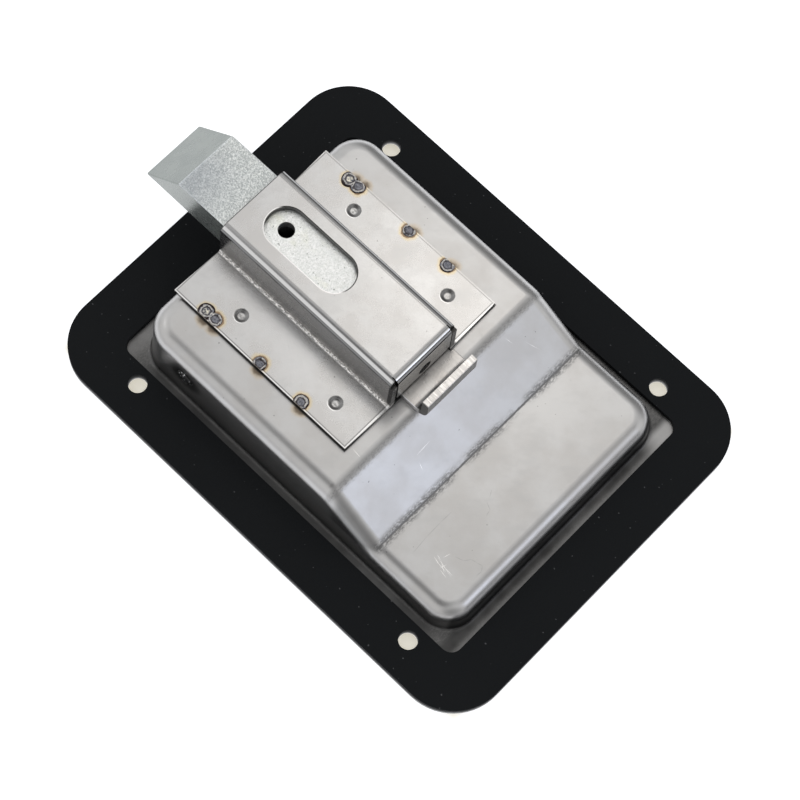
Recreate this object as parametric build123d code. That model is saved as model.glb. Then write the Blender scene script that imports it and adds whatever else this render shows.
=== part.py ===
from build123d import *
import math
import os

# Panel lock with a folding paddle, a beveled slam bolt and a keyed cylinder.
# Millimetres. The rear of the lock points up (+Z), the bolt throws along +X.
# The origin is the centre of the four mounting holes on the gasket's sealing face.

# Sheets and the flange
SHEET = 1.5
GASKET_THICKNESS = 1.6
FLANGE_LENGTH = 140.0
FLANGE_WIDTH = 107.9
FLANGE_CORNER = 14.3
HOLE_SPACING_X = 92.0
HOLE_MARGIN_Y = 6.8
MOUNT_HOLE_RADIUS = 2.4
GASKET_STRIP = 2.6
GASKET_END_STRIP = 3.4
GASKET_CUTOUT_CORNER = 3.0

# Pan, a deep step over the mechanism and a shallow step over the finger recess
PAN_BACK_X = -53.0
PAN_FRONT_X = 52.5
PAN_HALF_WIDTH = 38.2
PAN_CORNER = 7.6
PAN_DRAFT = 2.5
DEEP_TOP_Z = 17.5
SHALLOW_TOP_Z = 7.3
SLOPE_TOP_X = -10.8
SLOPE_FOOT_X = -26.5
PAN_TOP_ROUND = 4.4
PAN_BEND_RADIUS = 5.5
PAN_CREASE_RADIUS = 1.0
PAN_ROOT_ROUND = 1.2
PAN_RIM_ROUND = 2.3

# Bolt housing, a hat section with a closed rear end
HOUSING_FRONT_X = 50.9
HOUSING_BACK_X = -6.2
WING_HALF_WIDTH = 26.1
WING_BACK_X = -5.8
WING_FRONT_X = 51.4
WALL_END_TOP_Z = 29.6
WING_CORNER = 1.2
CHANNEL_HALF_WIDTH = 9.65
HOUSING_BEND = 2.0
WING_CREASE = 1.5
END_WALL_FOOT_Z = 21.0
END_WALL_RELIEF = 0.3
END_WALL_SIDE_ROUND = 0.5
SLOT_FRONT_X = 40.0
SLOT_BACK_X = 23.85
SLOT_WIDTH = 10.7
SLOT_Y = -0.5
DIMPLE_RADIUS = 2.0
DIMPLE_DEPTH = 0.35
DIMPLE_XS = (3.7, 35.3)
DIMPLE_Y = 19.4
WELD_RADIUS = 1.9
WELD_RISE = 0.45
WELD_SPOTS = ((41.8, -1), (38.9, -1), (22.0, -1), (9.1, -1), (42.0, 1), (38.9, 1), (23.5, 1), (9.7, 1))
WELD_INSET = 0.75
WELD_CROWN_ROUND = 0.4

# Slam bolt and what rides with it
BOLT_GAP = 0.3
BOLT_HEIGHT = 12.35
BOLT_HALF_WIDTH = 9.15
BOLT_TAIL_X = 12.0
BOLT_TIP_X = 78.5
BEVEL_TOP_X = 66.4
BOLT_EDGE = 0.4
BOLT_TRAVEL = 13.0
THREAD_RADIUS = 2.1
THREAD_CHAMFER = 0.3
THREAD_DEPTH = 9.0
THREAD_X = 40.0
AXIS_Y = -0.6
SPRING_AXIS_Z = 23.75
SPRING_BORE_RADIUS = 3.1
SPRING_BORE_END_X = 28.0
GUIDE_ROD_RADIUS = 1.6
GUIDE_ROD_GRIP = 6.0
GUIDE_ROD_END_GAP = 0.1
GUIDE_ROD_CHAMFER = 0.4
END_WALL_HOLE_RADIUS = 2.0
SPRING_WIRE = 0.8
SPRING_MEAN_RADIUS = 2.4
SPRING_TURNS = 13
SPRING_END_PITCH = 1.35
TAB_SHEET = 2.0
TAB_WIDE_LOW_Y = -10.1
TAB_NARROW_LOW_Y = -9.2
TAB_HIGH_Y = 7.1
TAB_BACK_X = -14.3
TAB_LIP_TOP_Z = 26.7
TAB_BEND = 2.6
TAB_OUTER_BEND = 3.6
TAB_SHOULDER_X = -6.8
TAB_GRIP_X = 30.0
TAB_RIVET_X = 21.0
TAB_RIVET_SPREAD = 5.6
TAB_RIVET_RADIUS = 1.5
TAB_RIVET_HEAD = 2.6
TAB_RIVET_LENGTH = 6.0

# Paddle, its hinge and the arm that draws the bolt
PIN_X = 36.5
PIN_Z = 8.5
PIN_RADIUS = 2.5
PIN_STAND = 0.4
PIN_RUNNING_GAP = 0.05
CLIP_THICKNESS = 0.6
CLIP_RADIUS = 4.6
CLIP_GROOVE_RADIUS = 2.0
CLIP_SIDE_GAP = 0.2
CLIP_MOUTH_HALF = 1.7
ARM_SWING = 46.4
ARM_SPREAD = 5.75
ARM_WIDTH = 4.0
ARM_THICKNESS = 4.0
ARM_NOSE_RADIUS = 2.4
ARM_SLOT_GAP = 0.4
POCKET_STEP_DROP = 0.6
ARM_HUB_RADIUS = 4.6
ARM_FOOT_THICKNESS = 3.0
ARM_FOOT_BACK_X = 20.0
ARM_FOOT_WIDTH = 20.0
ARM_FOOT_ROUND = 2.0
ARM_WEB_FRONT = 4.1
ARM_RIVET_X = 24.3
ARM_RIVET_SPREAD = 6.2
ARM_RIVET_RADIUS = 1.5
ARM_RIVET_HEAD = 2.7
ARM_RIVET_HEAD_HEIGHT = 1.2
ARM_RIVET_CROWN = 1.0
PADDLE_RECESS = 0.3
PADDLE_SIDE_GAP = 1.4
PADDLE_FREE_X = -20.0
PADDLE_LIP = 2.2
PADDLE_SKIRT_Z = 3.0
PADDLE_EDGE_ROUND = 1.2
PADDLE_EAR_RADIUS = 5.5
PADDLE_SKIRT_RUN_OUT = 6.0
PADDLE_SKIRT_FRONT_DROP = 5.9
PADDLE_CURL_END = 70.0

# Return spring of the paddle, wound round the hinge pin
COIL_WIRE = 1.2
COIL_MEAN_RADIUS = 4.2
COIL_TURNS = 5
COIL_PITCH = 1.75
COIL_START_Y = 9.0
SPRING_SEAT_GAP = 0.2

# Keyed cylinder in the paddle
LOCK_X = 6.0
LOCK_HEAD_RADIUS = 11.0
LOCK_HEAD_THICKNESS = 1.5
LOCK_CUP_GAP = 0.8
LOCK_HOLE_GAP = 0.1
LOCK_HEAD_SET_BACK = 0.1
LOCK_HEAD_ROUND = 0.6
LOCK_BARREL_RADIUS = 8.0
LOCK_FLAT_HALF = 7.0
LOCK_BARREL_TOP_Z = 11.0
PLUG_RADIUS = 5.9
PLUG_RUNNING_GAP = 0.08
PLUG_LIP_RADIUS = 5.0
PLUG_LIP_THICKNESS = 1.2
PLUG_SET_BACK = 0.2
WAFER_GROOVE_DEPTH = 0.7
WAFER_GROOVE_FOOT = 0.5
WAFER_GROOVE_HEAD = 0.8
KEYWAY_WIDTH = 1.5
KEYWAY_HEIGHT = 7.0
KEYWAY_TOP_Z = 9.4
WAFER_COUNT = 5
WAFER_THICKNESS = 0.9
WAFER_PITCH = 1.8
WAFER_FIRST_Z = 1.2
WAFER_WIDTH = 5.0
WAFER_LENGTH = 9.6
WAFER_GAP = 0.1
WAFER_CUT_STEP = 0.3
WAFER_WINDOW_MARGIN = 1.0
LOCK_NUT_HALF = 10.0
LOCK_NUT_THICKNESS = 3.0
LOCK_NUT_LOW_CONE = 13.5
LOCK_NUT_HIGH_CONE = 10.6
LOCK_WASHER_RADIUS = 10.6
LOCK_WASHER_THICKNESS = 0.8
CAM_THICKNESS = 2.0
CAM_REACH = 23.5
CAM_HALF_WIDTH = 5.0
CAM_HUB_RADIUS = 7.0
CAM_SQUARE = 7.0
CAM_SCREW_RADIUS = 2.0
CAM_SCREW_HEAD_RADIUS = 3.9
CAM_SCREW_HEAD = 1.5
CAM_SCREW_DEPTH = 3.0
CAM_SCREW_END_GAP = 0.2
CAM_SCREW_CROWN = 0.8
CAM_SCREW_SLOT_LENGTH = 4.4
CAM_SCREW_SLOT_WIDTH = 0.9
CAM_SCREW_SLOT_DEPTH = 1.0
CAM_WASHER_RADIUS = 5.0
CAM_WASHER_THICKNESS = 0.5
KEEPER_CLEARANCE = 0.4
KEEPER_WIDTH = 12.0
KEEPER_WALL_INSET = 5.4
KEEPER_FOOT_Z = 8.6
KEEPER_BEND = 1.5

# Worked out from the sizes above
FIT = 0.05
HAIR = 0.01
OVERSHOOT = 1.0
OVERLAP = 0.5
HOLE_SPACING_Y = 2 * (PAN_HALF_WIDTH + HOLE_MARGIN_Y)
PADDLE_HALF_WIDTH = PAN_HALF_WIDTH - SHEET - PADDLE_SIDE_GAP
FLANGE_REAR_Z = -GASKET_THICKNESS
FLANGE_FRONT_Z = FLANGE_REAR_Z - SHEET
WING_TOP_Z = DEEP_TOP_Z + SHEET
BOLT_FLOOR_Z = DEEP_TOP_Z + BOLT_GAP
BOLT_TOP_Z = BOLT_FLOOR_Z + BOLT_HEIGHT
HOUSING_INNER_Z = BOLT_TOP_Z + BOLT_GAP
HOUSING_TOP_Z = HOUSING_INNER_Z + SHEET
END_WALL_INNER_X = HOUSING_BACK_X + SHEET
PAN_CEILING_Z = DEEP_TOP_Z - SHEET
DRAFT_SLOPE = math.tan(math.radians(PAN_DRAFT))
HALF_SWING = math.radians(ARM_SWING / 2)
ARM_RADIUS = BOLT_TRAVEL / (2 * math.sin(HALF_SWING))
ARM_YS = (-ARM_SPREAD, ARM_SPREAD)
NOSE_X = PIN_X + ARM_RADIUS * math.sin(HALF_SWING)
NOSE_Z = PIN_Z + ARM_RADIUS * math.cos(HALF_SWING)
NOSE_PEAK_Z = PIN_Z + ARM_RADIUS + ARM_NOSE_RADIUS
PADDLE_FRONT_Z = FLANGE_FRONT_Z + PADDLE_RECESS
PADDLE_INNER_Z = PADDLE_FRONT_Z + SHEET
CURL_RADIUS = PIN_Z - PADDLE_FRONT_Z
TAB_TOP_Z = BOLT_FLOOR_Z + TAB_SHEET
CAM_BOTTOM_Z = LOCK_BARREL_TOP_Z + 2 * PLUG_RUNNING_GAP
CAM_TOP_Z = CAM_BOTTOM_Z + CAM_THICKNESS
LOCK_SEAT_Z = PADDLE_FRONT_Z + LOCK_HEAD_THICKNESS

os.makedirs("parts", exist_ok=True)


def save(name, shape):
    """Writes one named piece."""
    shape.label = name
    export_step(shape, f"parts/{name}.step")
    print(name, "solids", len(shape.solids()), "volume", round(shape.volume, 1))


def block(x, y, z):
    """A box between two limits on each axis."""
    size = (x[1] - x[0], y[1] - y[0], z[1] - z[0])
    middle = ((x[0] + x[1]) / 2, (y[0] + y[1]) / 2, (z[0] + z[1]) / 2)
    return Pos(*middle) * Box(*size)


def rod_z(x, y, z, radius):
    """A round bar along Z between two heights."""
    return Pos(x, y, (z[0] + z[1]) / 2) * Cylinder(radius, z[1] - z[0])


def rod_x(y, z, x, radius):
    """A round bar along X between two places."""
    return Pos((x[0] + x[1]) / 2, y, z) * Rot(0, 90, 0) * Cylinder(radius, x[1] - x[0])


def rod_y(x, z, y, radius):
    """A round bar along Y between two places."""
    return Pos(x, (y[0] + y[1]) / 2, z) * Rot(90, 0, 0) * Cylinder(radius, y[1] - y[0])


def cone_z(x, y, z, low_radius, high_radius):
    """A cone along Z between two heights."""
    return Pos(x, y, (z[0] + z[1]) / 2) * Cone(low_radius, high_radius, z[1] - z[0])


def across(face, y):
    """Extrudes a face drawn in the XZ plane between two places on Y."""
    return Pos(0, y[0], 0) * extrude(face, y[1] - y[0], dir=(0, 1, 0))


def side_face(points):
    """A face in the XZ plane from corner points."""
    return make_face(Polyline(*[(x, 0, z) for x, z in points], close=True))


def rounded_plate(x, half_width, radius, z):
    """A flat plate with round corners."""
    outline = RectangleRounded(x[1] - x[0], 2 * half_width, radius)
    return Pos((x[0] + x[1]) / 2, 0, z[0]) * extrude(outline, z[1] - z[0])


def place(point, axis_y, axis_z):
    """Carries a point wound about local Z to a coil about X."""
    return (point[2], axis_y + point[0], axis_z + point[1])


def biarc(start, start_way, end, end_way):
    """Two tangent arcs between two points with given directions."""
    span = end - start
    along = span.dot(start_way + end_way)
    bend = 1 - start_way.dot(end_way)
    if bend < 1e-9:
        reach = span.dot(span) / (2 * along)
    else:
        reach = (math.sqrt(along * along + 2 * bend * span.dot(span)) - along) / (2 * bend)
    middle = (start + start_way * reach + end - end_way * reach) * 0.5
    middle_way = (end - end_way * reach) - (start + start_way * reach)
    first = TangentArc(start, middle, tangent=start_way)
    second = TangentArc(middle, end, tangent=middle_way)
    return [first, second]


def coil_points(heights, radius, to_world, first_angle=0.0):
    """Points and directions each quarter turn of a coil with the given heights."""
    count = len(heights)
    rows = []
    for step in range(count):
        angle = math.radians(first_angle) + step * math.pi / 2
        before = heights[max(step - 1, 0)]
        after = heights[min(step + 1, count - 1)]
        quarters = min(step + 1, count - 1) - max(step - 1, 0)
        climb = (after - before) / (quarters * math.pi / 2)
        here = Vector(*to_world((radius * math.cos(angle), radius * math.sin(angle), heights[step])))
        base = Vector(*to_world((0, 0, 0)))
        way = Vector(*to_world((-radius * math.sin(angle), radius * math.cos(angle), climb))) - base
        rows.append((here, way.normalized()))
    return rows


def coil_path(rows):
    """Joins coil points by pairs of tangent arcs."""
    arcs = []
    for (start, start_way), (end, end_way) in zip(rows, rows[1:]):
        arcs += biarc(start, start_way, end, end_way)
    return arcs


def least_gap(path, wire, turn_length):
    """Least gap of a wound wire to itself, measured on points along its path."""
    neighbour_share = 0.6
    steps_per_wire = 3
    length = path.length
    count = int(length / wire * steps_per_wire)
    points = [path.position_at(step / count) for step in range(count + 1)]
    skip = int(neighbour_share * turn_length / (length / count))
    best = length
    for step, point in enumerate(points):
        for other in points[step + skip:step + 3 * skip]:
            best = min(best, (other - point).length)
    return best - wire


# Dish: flange and two-step pan pressed from one sheet

def pan_top_face(inset, x_low, x_high, floor_z):
    """Side outline under the pan's stepped top, moved inwards by the inset."""
    slope = math.atan2(DEEP_TOP_Z - SHALLOW_TOP_Z, SLOPE_TOP_X - SLOPE_FOOT_X)
    shift = inset * math.tan(slope / 2)
    outline = side_face([
        (x_low, floor_z),
        (x_low, SHALLOW_TOP_Z - inset),
        (SLOPE_FOOT_X + shift, SHALLOW_TOP_Z - inset),
        (SLOPE_TOP_X + shift, DEEP_TOP_Z - inset),
        (x_high, DEEP_TOP_Z - inset),
        (x_high, floor_z),
    ])
    bends = [v for v in outline.vertices() if x_low < v.X - HAIR and v.X + HAIR < x_high]
    for corner in sorted(bends, key=lambda v: v.X):
        hollow = corner.Z < (DEEP_TOP_Z + SHALLOW_TOP_Z) / 2 - inset
        radius = PAN_CREASE_RADIUS + inset if hollow else PAN_BEND_RADIUS - inset
        near = [v for v in outline.vertices() if (v.center() - corner.center()).length < HAIR]
        outline = fillet(near, radius)
    return outline


def pan_solid(inset, floor_z):
    """The pan's outer or inner form, with drafted walls and rounded top edges."""
    drop = (FLANGE_REAR_Z - floor_z) * DRAFT_SLOPE
    x = (PAN_BACK_X - drop + inset, PAN_FRONT_X + drop - inset)
    half_width = PAN_HALF_WIDTH + drop - inset
    outline = RectangleRounded(x[1] - x[0], 2 * half_width, PAN_CORNER + drop - inset)
    height = DEEP_TOP_Z + PAN_TOP_ROUND - floor_z
    walls = Pos((x[0] + x[1]) / 2, 0, floor_z) * extrude(outline, height, taper=PAN_DRAFT)
    reach = FLANGE_LENGTH / 2
    top = across(pan_top_face(inset, -reach, reach, floor_z - OVERSHOOT), (-reach, reach))
    body = walls & top
    body = body.solids()[0] if len(body.solids()) == 1 else body
    edges = [e for e in body.edges() if rim_edge(e, inset, half_width)]
    return fillet(edges, PAN_TOP_ROUND - inset)


def rim_edge(edge, inset, half_width):
    """True for the edges between the stepped top and the walls."""
    middle = edge @ 0.5
    low = SHALLOW_TOP_Z - inset - OVERLAP
    if middle.Z < low or edge.bounding_box().size.Z > DEEP_TOP_Z - SHALLOW_TOP_Z:
        return False
    near_side = abs(middle.Y) > half_width - PAN_TOP_ROUND
    flat_end = edge.bounding_box().size.Z < HAIR and abs(middle.X) > PAN_FRONT_X - PAN_CORNER
    return near_side or flat_end


def slot_for_arm(z):
    """Clearance slot in the pan for the arm over its whole swing."""
    lean = (DEEP_TOP_Z - PIN_Z) * math.tan(HALF_SWING)
    reach = lean + ARM_THICKNESS / 2 / math.cos(HALF_SWING) + ARM_SLOT_GAP
    half = ARM_SPREAD + ARM_WIDTH / 2 + ARM_SLOT_GAP
    return block((PIN_X - reach, PIN_X + reach), (-half, half), z)


def pan_foot_edges(body, z):
    """The ring of edges round the pan's foot at one height of the flange."""
    ring = []
    for edge in body.edges():
        middle = edge @ 0.5
        inside = abs(middle.X) < PAN_FRONT_X + 2 * OVERSHOOT and abs(middle.Y) < PAN_HALF_WIDTH + OVERSHOOT
        if abs(middle.Z - z) < HAIR and inside:
            ring.append(edge)
    return ring


def dish_plate():
    z = (FLANGE_FRONT_Z, FLANGE_REAR_Z)
    flange = rounded_plate((-FLANGE_LENGTH / 2, FLANGE_LENGTH / 2), FLANGE_WIDTH / 2, FLANGE_CORNER, z)
    body = flange + pan_solid(0, FLANGE_REAR_Z)
    body = fillet(pan_foot_edges(body, FLANGE_REAR_Z), PAN_ROOT_ROUND)
    body -= pan_solid(SHEET, FLANGE_FRONT_Z)
    body = fillet(pan_foot_edges(body, FLANGE_FRONT_Z), PAN_RIM_ROUND)
    body -= slot_for_arm((PAN_CEILING_Z - OVERSHOOT, DEEP_TOP_Z + OVERSHOOT))
    reach = PAN_HALF_WIDTH + OVERSHOOT
    body -= rod_y(PIN_X, PIN_Z, (-reach, reach), PIN_RADIUS + FIT)
    return body - mounting_holes((FLANGE_FRONT_Z - OVERSHOOT, OVERSHOOT))


def mounting_holes(z):
    """The four screw holes through the flange and the gasket."""
    holes = [rod_z(x * HOLE_SPACING_X / 2, y * HOLE_SPACING_Y / 2, z, MOUNT_HOLE_RADIUS)
             for x in (-1, 1) for y in (-1, 1)]
    return Compound(holes)


def gasket():
    z = (FLANGE_REAR_Z, 0)
    outer = rounded_plate((-FLANGE_LENGTH / 2, FLANGE_LENGTH / 2), FLANGE_WIDTH / 2, FLANGE_CORNER, z)
    x = (PAN_BACK_X - GASKET_END_STRIP, PAN_FRONT_X + GASKET_END_STRIP)
    cutout = rounded_plate(x, PAN_HALF_WIDTH + GASKET_STRIP, GASKET_CUTOUT_CORNER,
                            (z[0] - OVERSHOOT, OVERSHOOT))
    return outer - cutout - mounting_holes((z[0] - OVERSHOOT, OVERSHOOT))


# Housing over the bolt

def hat_section():
    """Cross section of the channel and its wings, in the YZ plane."""
    inner = CHANNEL_HALF_WIDTH
    outer = inner + SHEET
    wing = WING_HALF_WIDTH
    right = [(inner, DEEP_TOP_Z), (wing, DEEP_TOP_Z), (wing, WING_TOP_Z), (outer, WING_TOP_Z),
             (outer, HOUSING_TOP_Z)]
    left = [(-y, z) for y, z in reversed(right)]
    inside = [(-inner, HOUSING_INNER_Z), (inner, HOUSING_INNER_Z)]
    face = make_face(Polyline(*[(0, y, z) for y, z in right + left + inside], close=True))
    rounds = {
        (outer, WING_TOP_Z): WING_CREASE,
        (inner, DEEP_TOP_Z): WING_CREASE + SHEET,
        (outer, HOUSING_TOP_Z): HOUSING_BEND,
        (inner, HOUSING_INNER_Z): HOUSING_BEND - SHEET,
    }
    for (y, z), radius in rounds.items():
        corners = [v for v in face.vertices() if abs(abs(v.Y) - y) < HAIR and abs(v.Z - z) < HAIR]
        face = fillet(corners, radius)
    return face


def end_wall():
    """The flap that closes the channel's rear, folded down from its top."""
    x = (HOUSING_BACK_X, END_WALL_INNER_X + END_WALL_RELIEF)
    fold = HOUSING_BACK_X + HOUSING_BEND
    half = CHANNEL_HALF_WIDTH - END_WALL_RELIEF
    face = side_face([
        (HOUSING_BACK_X, END_WALL_FOOT_Z),
        (END_WALL_INNER_X, END_WALL_FOOT_Z),
        (END_WALL_INNER_X, HOUSING_INNER_Z),
        (fold + OVERLAP, HOUSING_INNER_Z),
        (fold + OVERLAP, HOUSING_TOP_Z),
        (HOUSING_BACK_X, HOUSING_TOP_Z),
    ])
    outer = [v for v in face.vertices() if abs(v.X - x[0]) < HAIR and abs(v.Z - HOUSING_TOP_Z) < HAIR]
    face = fillet(outer, HOUSING_BEND)
    flap = across(face, (-half, half))
    sides = [e for e in flap.edges().filter_by(Axis.Z) if abs((e @ 0.5).X - x[0]) < HAIR]
    flap = fillet(sides, END_WALL_SIDE_ROUND)
    through = (x[0] - OVERSHOOT, x[1] + OVERSHOOT)
    return flap - rod_x(AXIS_Y, SPRING_AXIS_Z, through, END_WALL_HOLE_RADIUS)


def weld_bead(x, side):
    """A tack weld that bridges the wing's edge and the pan."""
    rise = WING_TOP_Z + WELD_RISE
    bead = rod_z(x, side * (WING_HALF_WIDTH - WELD_INSET), (DEEP_TOP_Z, rise), WELD_RADIUS)
    crown = [e for e in bead.edges() if abs((e @ 0.5).Z - rise) < HAIR]
    return fillet(crown, WELD_CROWN_ROUND)


def bolt_housing():
    fold = HOUSING_BACK_X + HOUSING_BEND
    body = Pos(fold, 0, 0) * extrude(hat_section(), HOUSING_FRONT_X - fold, dir=(1, 0, 0))
    reach = WING_HALF_WIDTH + OVERSHOOT
    tail = Pos(WING_BACK_X, 0, 0) * extrude(hat_section(), fold - WING_BACK_X, dir=(1, 0, 0))
    body += tail & block((WING_BACK_X, fold), (-reach, reach), (DEEP_TOP_Z, WALL_END_TOP_Z))
    for side in (-1, 1):
        y = sorted((side * (CHANNEL_HALF_WIDTH + SHEET + WING_CREASE), side * WING_HALF_WIDTH))
        body += block((HOUSING_FRONT_X, WING_FRONT_X), y, (DEEP_TOP_Z, WING_TOP_Z))
    body += end_wall()
    corners = [e for e in body.edges().filter_by(Axis.Z)
               if abs(abs((e @ 0.5).Y) - WING_HALF_WIDTH) < HAIR]
    body = fillet(corners, WING_CORNER)
    slot = SlotCenterToCenter(SLOT_FRONT_X - SLOT_BACK_X, SLOT_WIDTH)
    middle = (SLOT_FRONT_X + SLOT_BACK_X) / 2
    body -= Pos(middle, SLOT_Y, HOUSING_INNER_Z - OVERSHOOT) * extrude(slot, SHEET + 2 * OVERSHOOT)
    for x in DIMPLE_XS:
        for side in (-1, 1):
            depth = (WING_TOP_Z - DIMPLE_DEPTH, WING_TOP_Z + OVERSHOOT)
            body -= rod_z(x, side * DIMPLE_Y, depth, DIMPLE_RADIUS)
    for x, side in WELD_SPOTS:
        body += weld_bead(x, side)
    return body


# Slam bolt, its pull tab, guide rod and spring

def bolt_pocket(arm_y):
    """Room in the bolt's underside for one prong's nose and shank."""
    half = ARM_WIDTH / 2 + BOLT_GAP
    y = (arm_y - half, arm_y + half)
    nose_half = ARM_NOSE_RADIUS + BOLT_GAP
    lean = math.tan(HALF_SWING)
    shank_half = (NOSE_Z - BOLT_FLOOR_Z) * lean + ARM_THICKNESS / 2 / math.cos(HALF_SWING) + BOLT_GAP
    foot_z = BOLT_FLOOR_Z - OVERSHOOT
    step_z = NOSE_Z - POCKET_STEP_DROP
    upper = block((NOSE_X - nose_half, NOSE_X + nose_half), y, (foot_z, NOSE_PEAK_Z + BOLT_GAP))
    lower = block((NOSE_X - shank_half, NOSE_X + shank_half), y, (foot_z, step_z))
    return upper + lower


def tab_rivet_places():
    """The two rivets lie either side of the tab's middle."""
    middle = (TAB_NARROW_LOW_Y + TAB_HIGH_Y) / 2
    return (middle - TAB_RIVET_SPREAD, middle + TAB_RIVET_SPREAD)


def slam_bolt():
    face = side_face([
        (BOLT_TAIL_X, BOLT_FLOOR_Z),
        (BOLT_TIP_X, BOLT_FLOOR_Z),
        (BEVEL_TOP_X, BOLT_TOP_Z),
        (BOLT_TAIL_X, BOLT_TOP_Z),
    ])
    body = across(face, (-BOLT_HALF_WIDTH, BOLT_HALF_WIDTH))
    body = fillet(body.edges().filter_by(Axis.X), BOLT_EDGE)
    recess_y = (TAB_NARROW_LOW_Y - BOLT_GAP / 2, TAB_HIGH_Y + BOLT_GAP / 2)
    body -= block((BOLT_TAIL_X - OVERSHOOT, TAB_GRIP_X + FIT), recess_y, (BOLT_FLOOR_Z - OVERSHOOT, TAB_TOP_Z))
    bore = (BOLT_TAIL_X - OVERSHOOT, SPRING_BORE_END_X)
    body -= rod_x(AXIS_Y, SPRING_AXIS_Z, bore, SPRING_BORE_RADIUS)
    grip = (SPRING_BORE_END_X - OVERSHOOT, SPRING_BORE_END_X + GUIDE_ROD_GRIP)
    body -= rod_x(AXIS_Y, SPRING_AXIS_Z, grip, GUIDE_ROD_RADIUS + FIT)
    for arm_y in ARM_YS:
        body -= bolt_pocket(arm_y)
    body -= rod_z(THREAD_X, AXIS_Y, (BOLT_TOP_Z - THREAD_DEPTH, BOLT_TOP_Z + OVERSHOOT), THREAD_RADIUS)
    wide = THREAD_RADIUS + THREAD_CHAMFER
    body -= cone_z(THREAD_X, AXIS_Y, (BOLT_TOP_Z - THREAD_CHAMFER, BOLT_TOP_Z), THREAD_RADIUS, wide)
    for y in tab_rivet_places():
        body -= rod_z(TAB_RIVET_X, y, (BOLT_FLOOR_Z, BOLT_FLOOR_Z + TAB_RIVET_LENGTH), TAB_RIVET_RADIUS + FIT)
    return body


def release_tab():
    lip_inner = TAB_BACK_X + TAB_SHEET
    face = side_face([
        (TAB_BACK_X, BOLT_FLOOR_Z),
        (TAB_GRIP_X, BOLT_FLOOR_Z),
        (TAB_GRIP_X, TAB_TOP_Z),
        (lip_inner, TAB_TOP_Z),
        (lip_inner, TAB_LIP_TOP_Z),
        (TAB_BACK_X, TAB_LIP_TOP_Z),
    ])
    inner = [v for v in face.vertices() if abs(v.X - lip_inner) < HAIR and abs(v.Z - TAB_TOP_Z) < HAIR]
    face = fillet(inner, TAB_BEND)
    outer = [v for v in face.vertices() if abs(v.X - TAB_BACK_X) < HAIR and abs(v.Z - BOLT_FLOOR_Z) < HAIR]
    face = fillet(outer, TAB_OUTER_BEND)
    body = across(face, (TAB_WIDE_LOW_Y, TAB_HIGH_Y))
    cut_z = (BOLT_FLOOR_Z - OVERSHOOT, TAB_TOP_Z + OVERSHOOT)
    body -= block((TAB_SHOULDER_X, TAB_GRIP_X + OVERSHOOT), (TAB_WIDE_LOW_Y - OVERSHOOT, TAB_NARROW_LOW_Y),
                  cut_z)
    for y in tab_rivet_places():
        body -= rod_z(TAB_RIVET_X, y, cut_z, TAB_RIVET_RADIUS + FIT)
        sink = TAB_RIVET_HEAD - TAB_RIVET_RADIUS
        body -= cone_z(TAB_RIVET_X, y, (BOLT_FLOOR_Z, BOLT_FLOOR_Z + sink),
                       TAB_RIVET_HEAD + FIT, TAB_RIVET_RADIUS + FIT)
    return body


def tab_rivets():
    rivets = []
    for y in tab_rivet_places():
        sink = TAB_RIVET_HEAD - TAB_RIVET_RADIUS
        shank = rod_z(TAB_RIVET_X, y, (BOLT_FLOOR_Z, BOLT_FLOOR_Z + TAB_RIVET_LENGTH), TAB_RIVET_RADIUS)
        head = cone_z(TAB_RIVET_X, y, (BOLT_FLOOR_Z, BOLT_FLOOR_Z + sink), TAB_RIVET_HEAD, TAB_RIVET_RADIUS)
        rivets.append(shank + head)
    return Compound(rivets)


def spring_guide_rod():
    x = (END_WALL_INNER_X + GUIDE_ROD_END_GAP, SPRING_BORE_END_X + GUIDE_ROD_GRIP)
    rod = rod_x(AXIS_Y, SPRING_AXIS_Z, x, GUIDE_ROD_RADIUS)
    tip = [e for e in rod.edges() if abs((e @ 0.5).X - x[0]) < HAIR]
    return chamfer(tip, GUIDE_ROD_CHAMFER)


def bolt_spring():
    start = END_WALL_INNER_X + SPRING_WIRE / 2 + SPRING_SEAT_GAP
    end = SPRING_BORE_END_X - SPRING_WIRE / 2 - SPRING_SEAT_GAP
    inner_pitch = (end - start - 2 * SPRING_END_PITCH) / (SPRING_TURNS - 2)
    heights = [start]
    for quarter in range(4 * SPRING_TURNS):
        at_end = quarter < 4 or quarter >= 4 * SPRING_TURNS - 4
        heights.append(heights[-1] + (SPRING_END_PITCH if at_end else inner_pitch) / 4)
    rows = coil_points(heights, SPRING_MEAN_RADIUS, lambda p: place(p, AXIS_Y, SPRING_AXIS_Z))
    path = Wire(coil_path(rows))
    section = Plane(origin=path @ 0, z_dir=path % 0) * Circle(SPRING_WIRE / 2)
    gap = least_gap(path, SPRING_WIRE, 2 * math.pi * SPRING_MEAN_RADIUS)
    print("bolt spring least gap", round(gap, 2))
    return sweep(section, path=path)


# Hinge

def pin_reach():
    """Half length of the hinge pin, just proud of the pan's walls."""
    return PAN_HALF_WIDTH - (PIN_Z - FLANGE_REAR_Z) * DRAFT_SLOPE + PIN_STAND


def clip_places():
    """Where the two retaining clips sit, inside the paddle's skirts."""
    inner = PADDLE_HALF_WIDTH - SHEET - CLIP_SIDE_GAP
    return [(-inner, -inner + CLIP_THICKNESS), (inner - CLIP_THICKNESS, inner)]


def hinge_pin():
    reach = pin_reach()
    pin = rod_y(PIN_X, PIN_Z, (-reach, reach), PIN_RADIUS)
    pin = chamfer([e for e in pin.edges() if abs(abs((e @ 0.5).Y) - reach) < HAIR], PIN_STAND)
    for low, high in clip_places():
        ring = rod_y(PIN_X, PIN_Z, (low - FIT, high + FIT), PIN_RADIUS + OVERSHOOT)
        ring -= rod_y(PIN_X, PIN_Z, (low - OVERSHOOT, high + OVERSHOOT), CLIP_GROOVE_RADIUS)
        pin -= ring
    return pin


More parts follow.
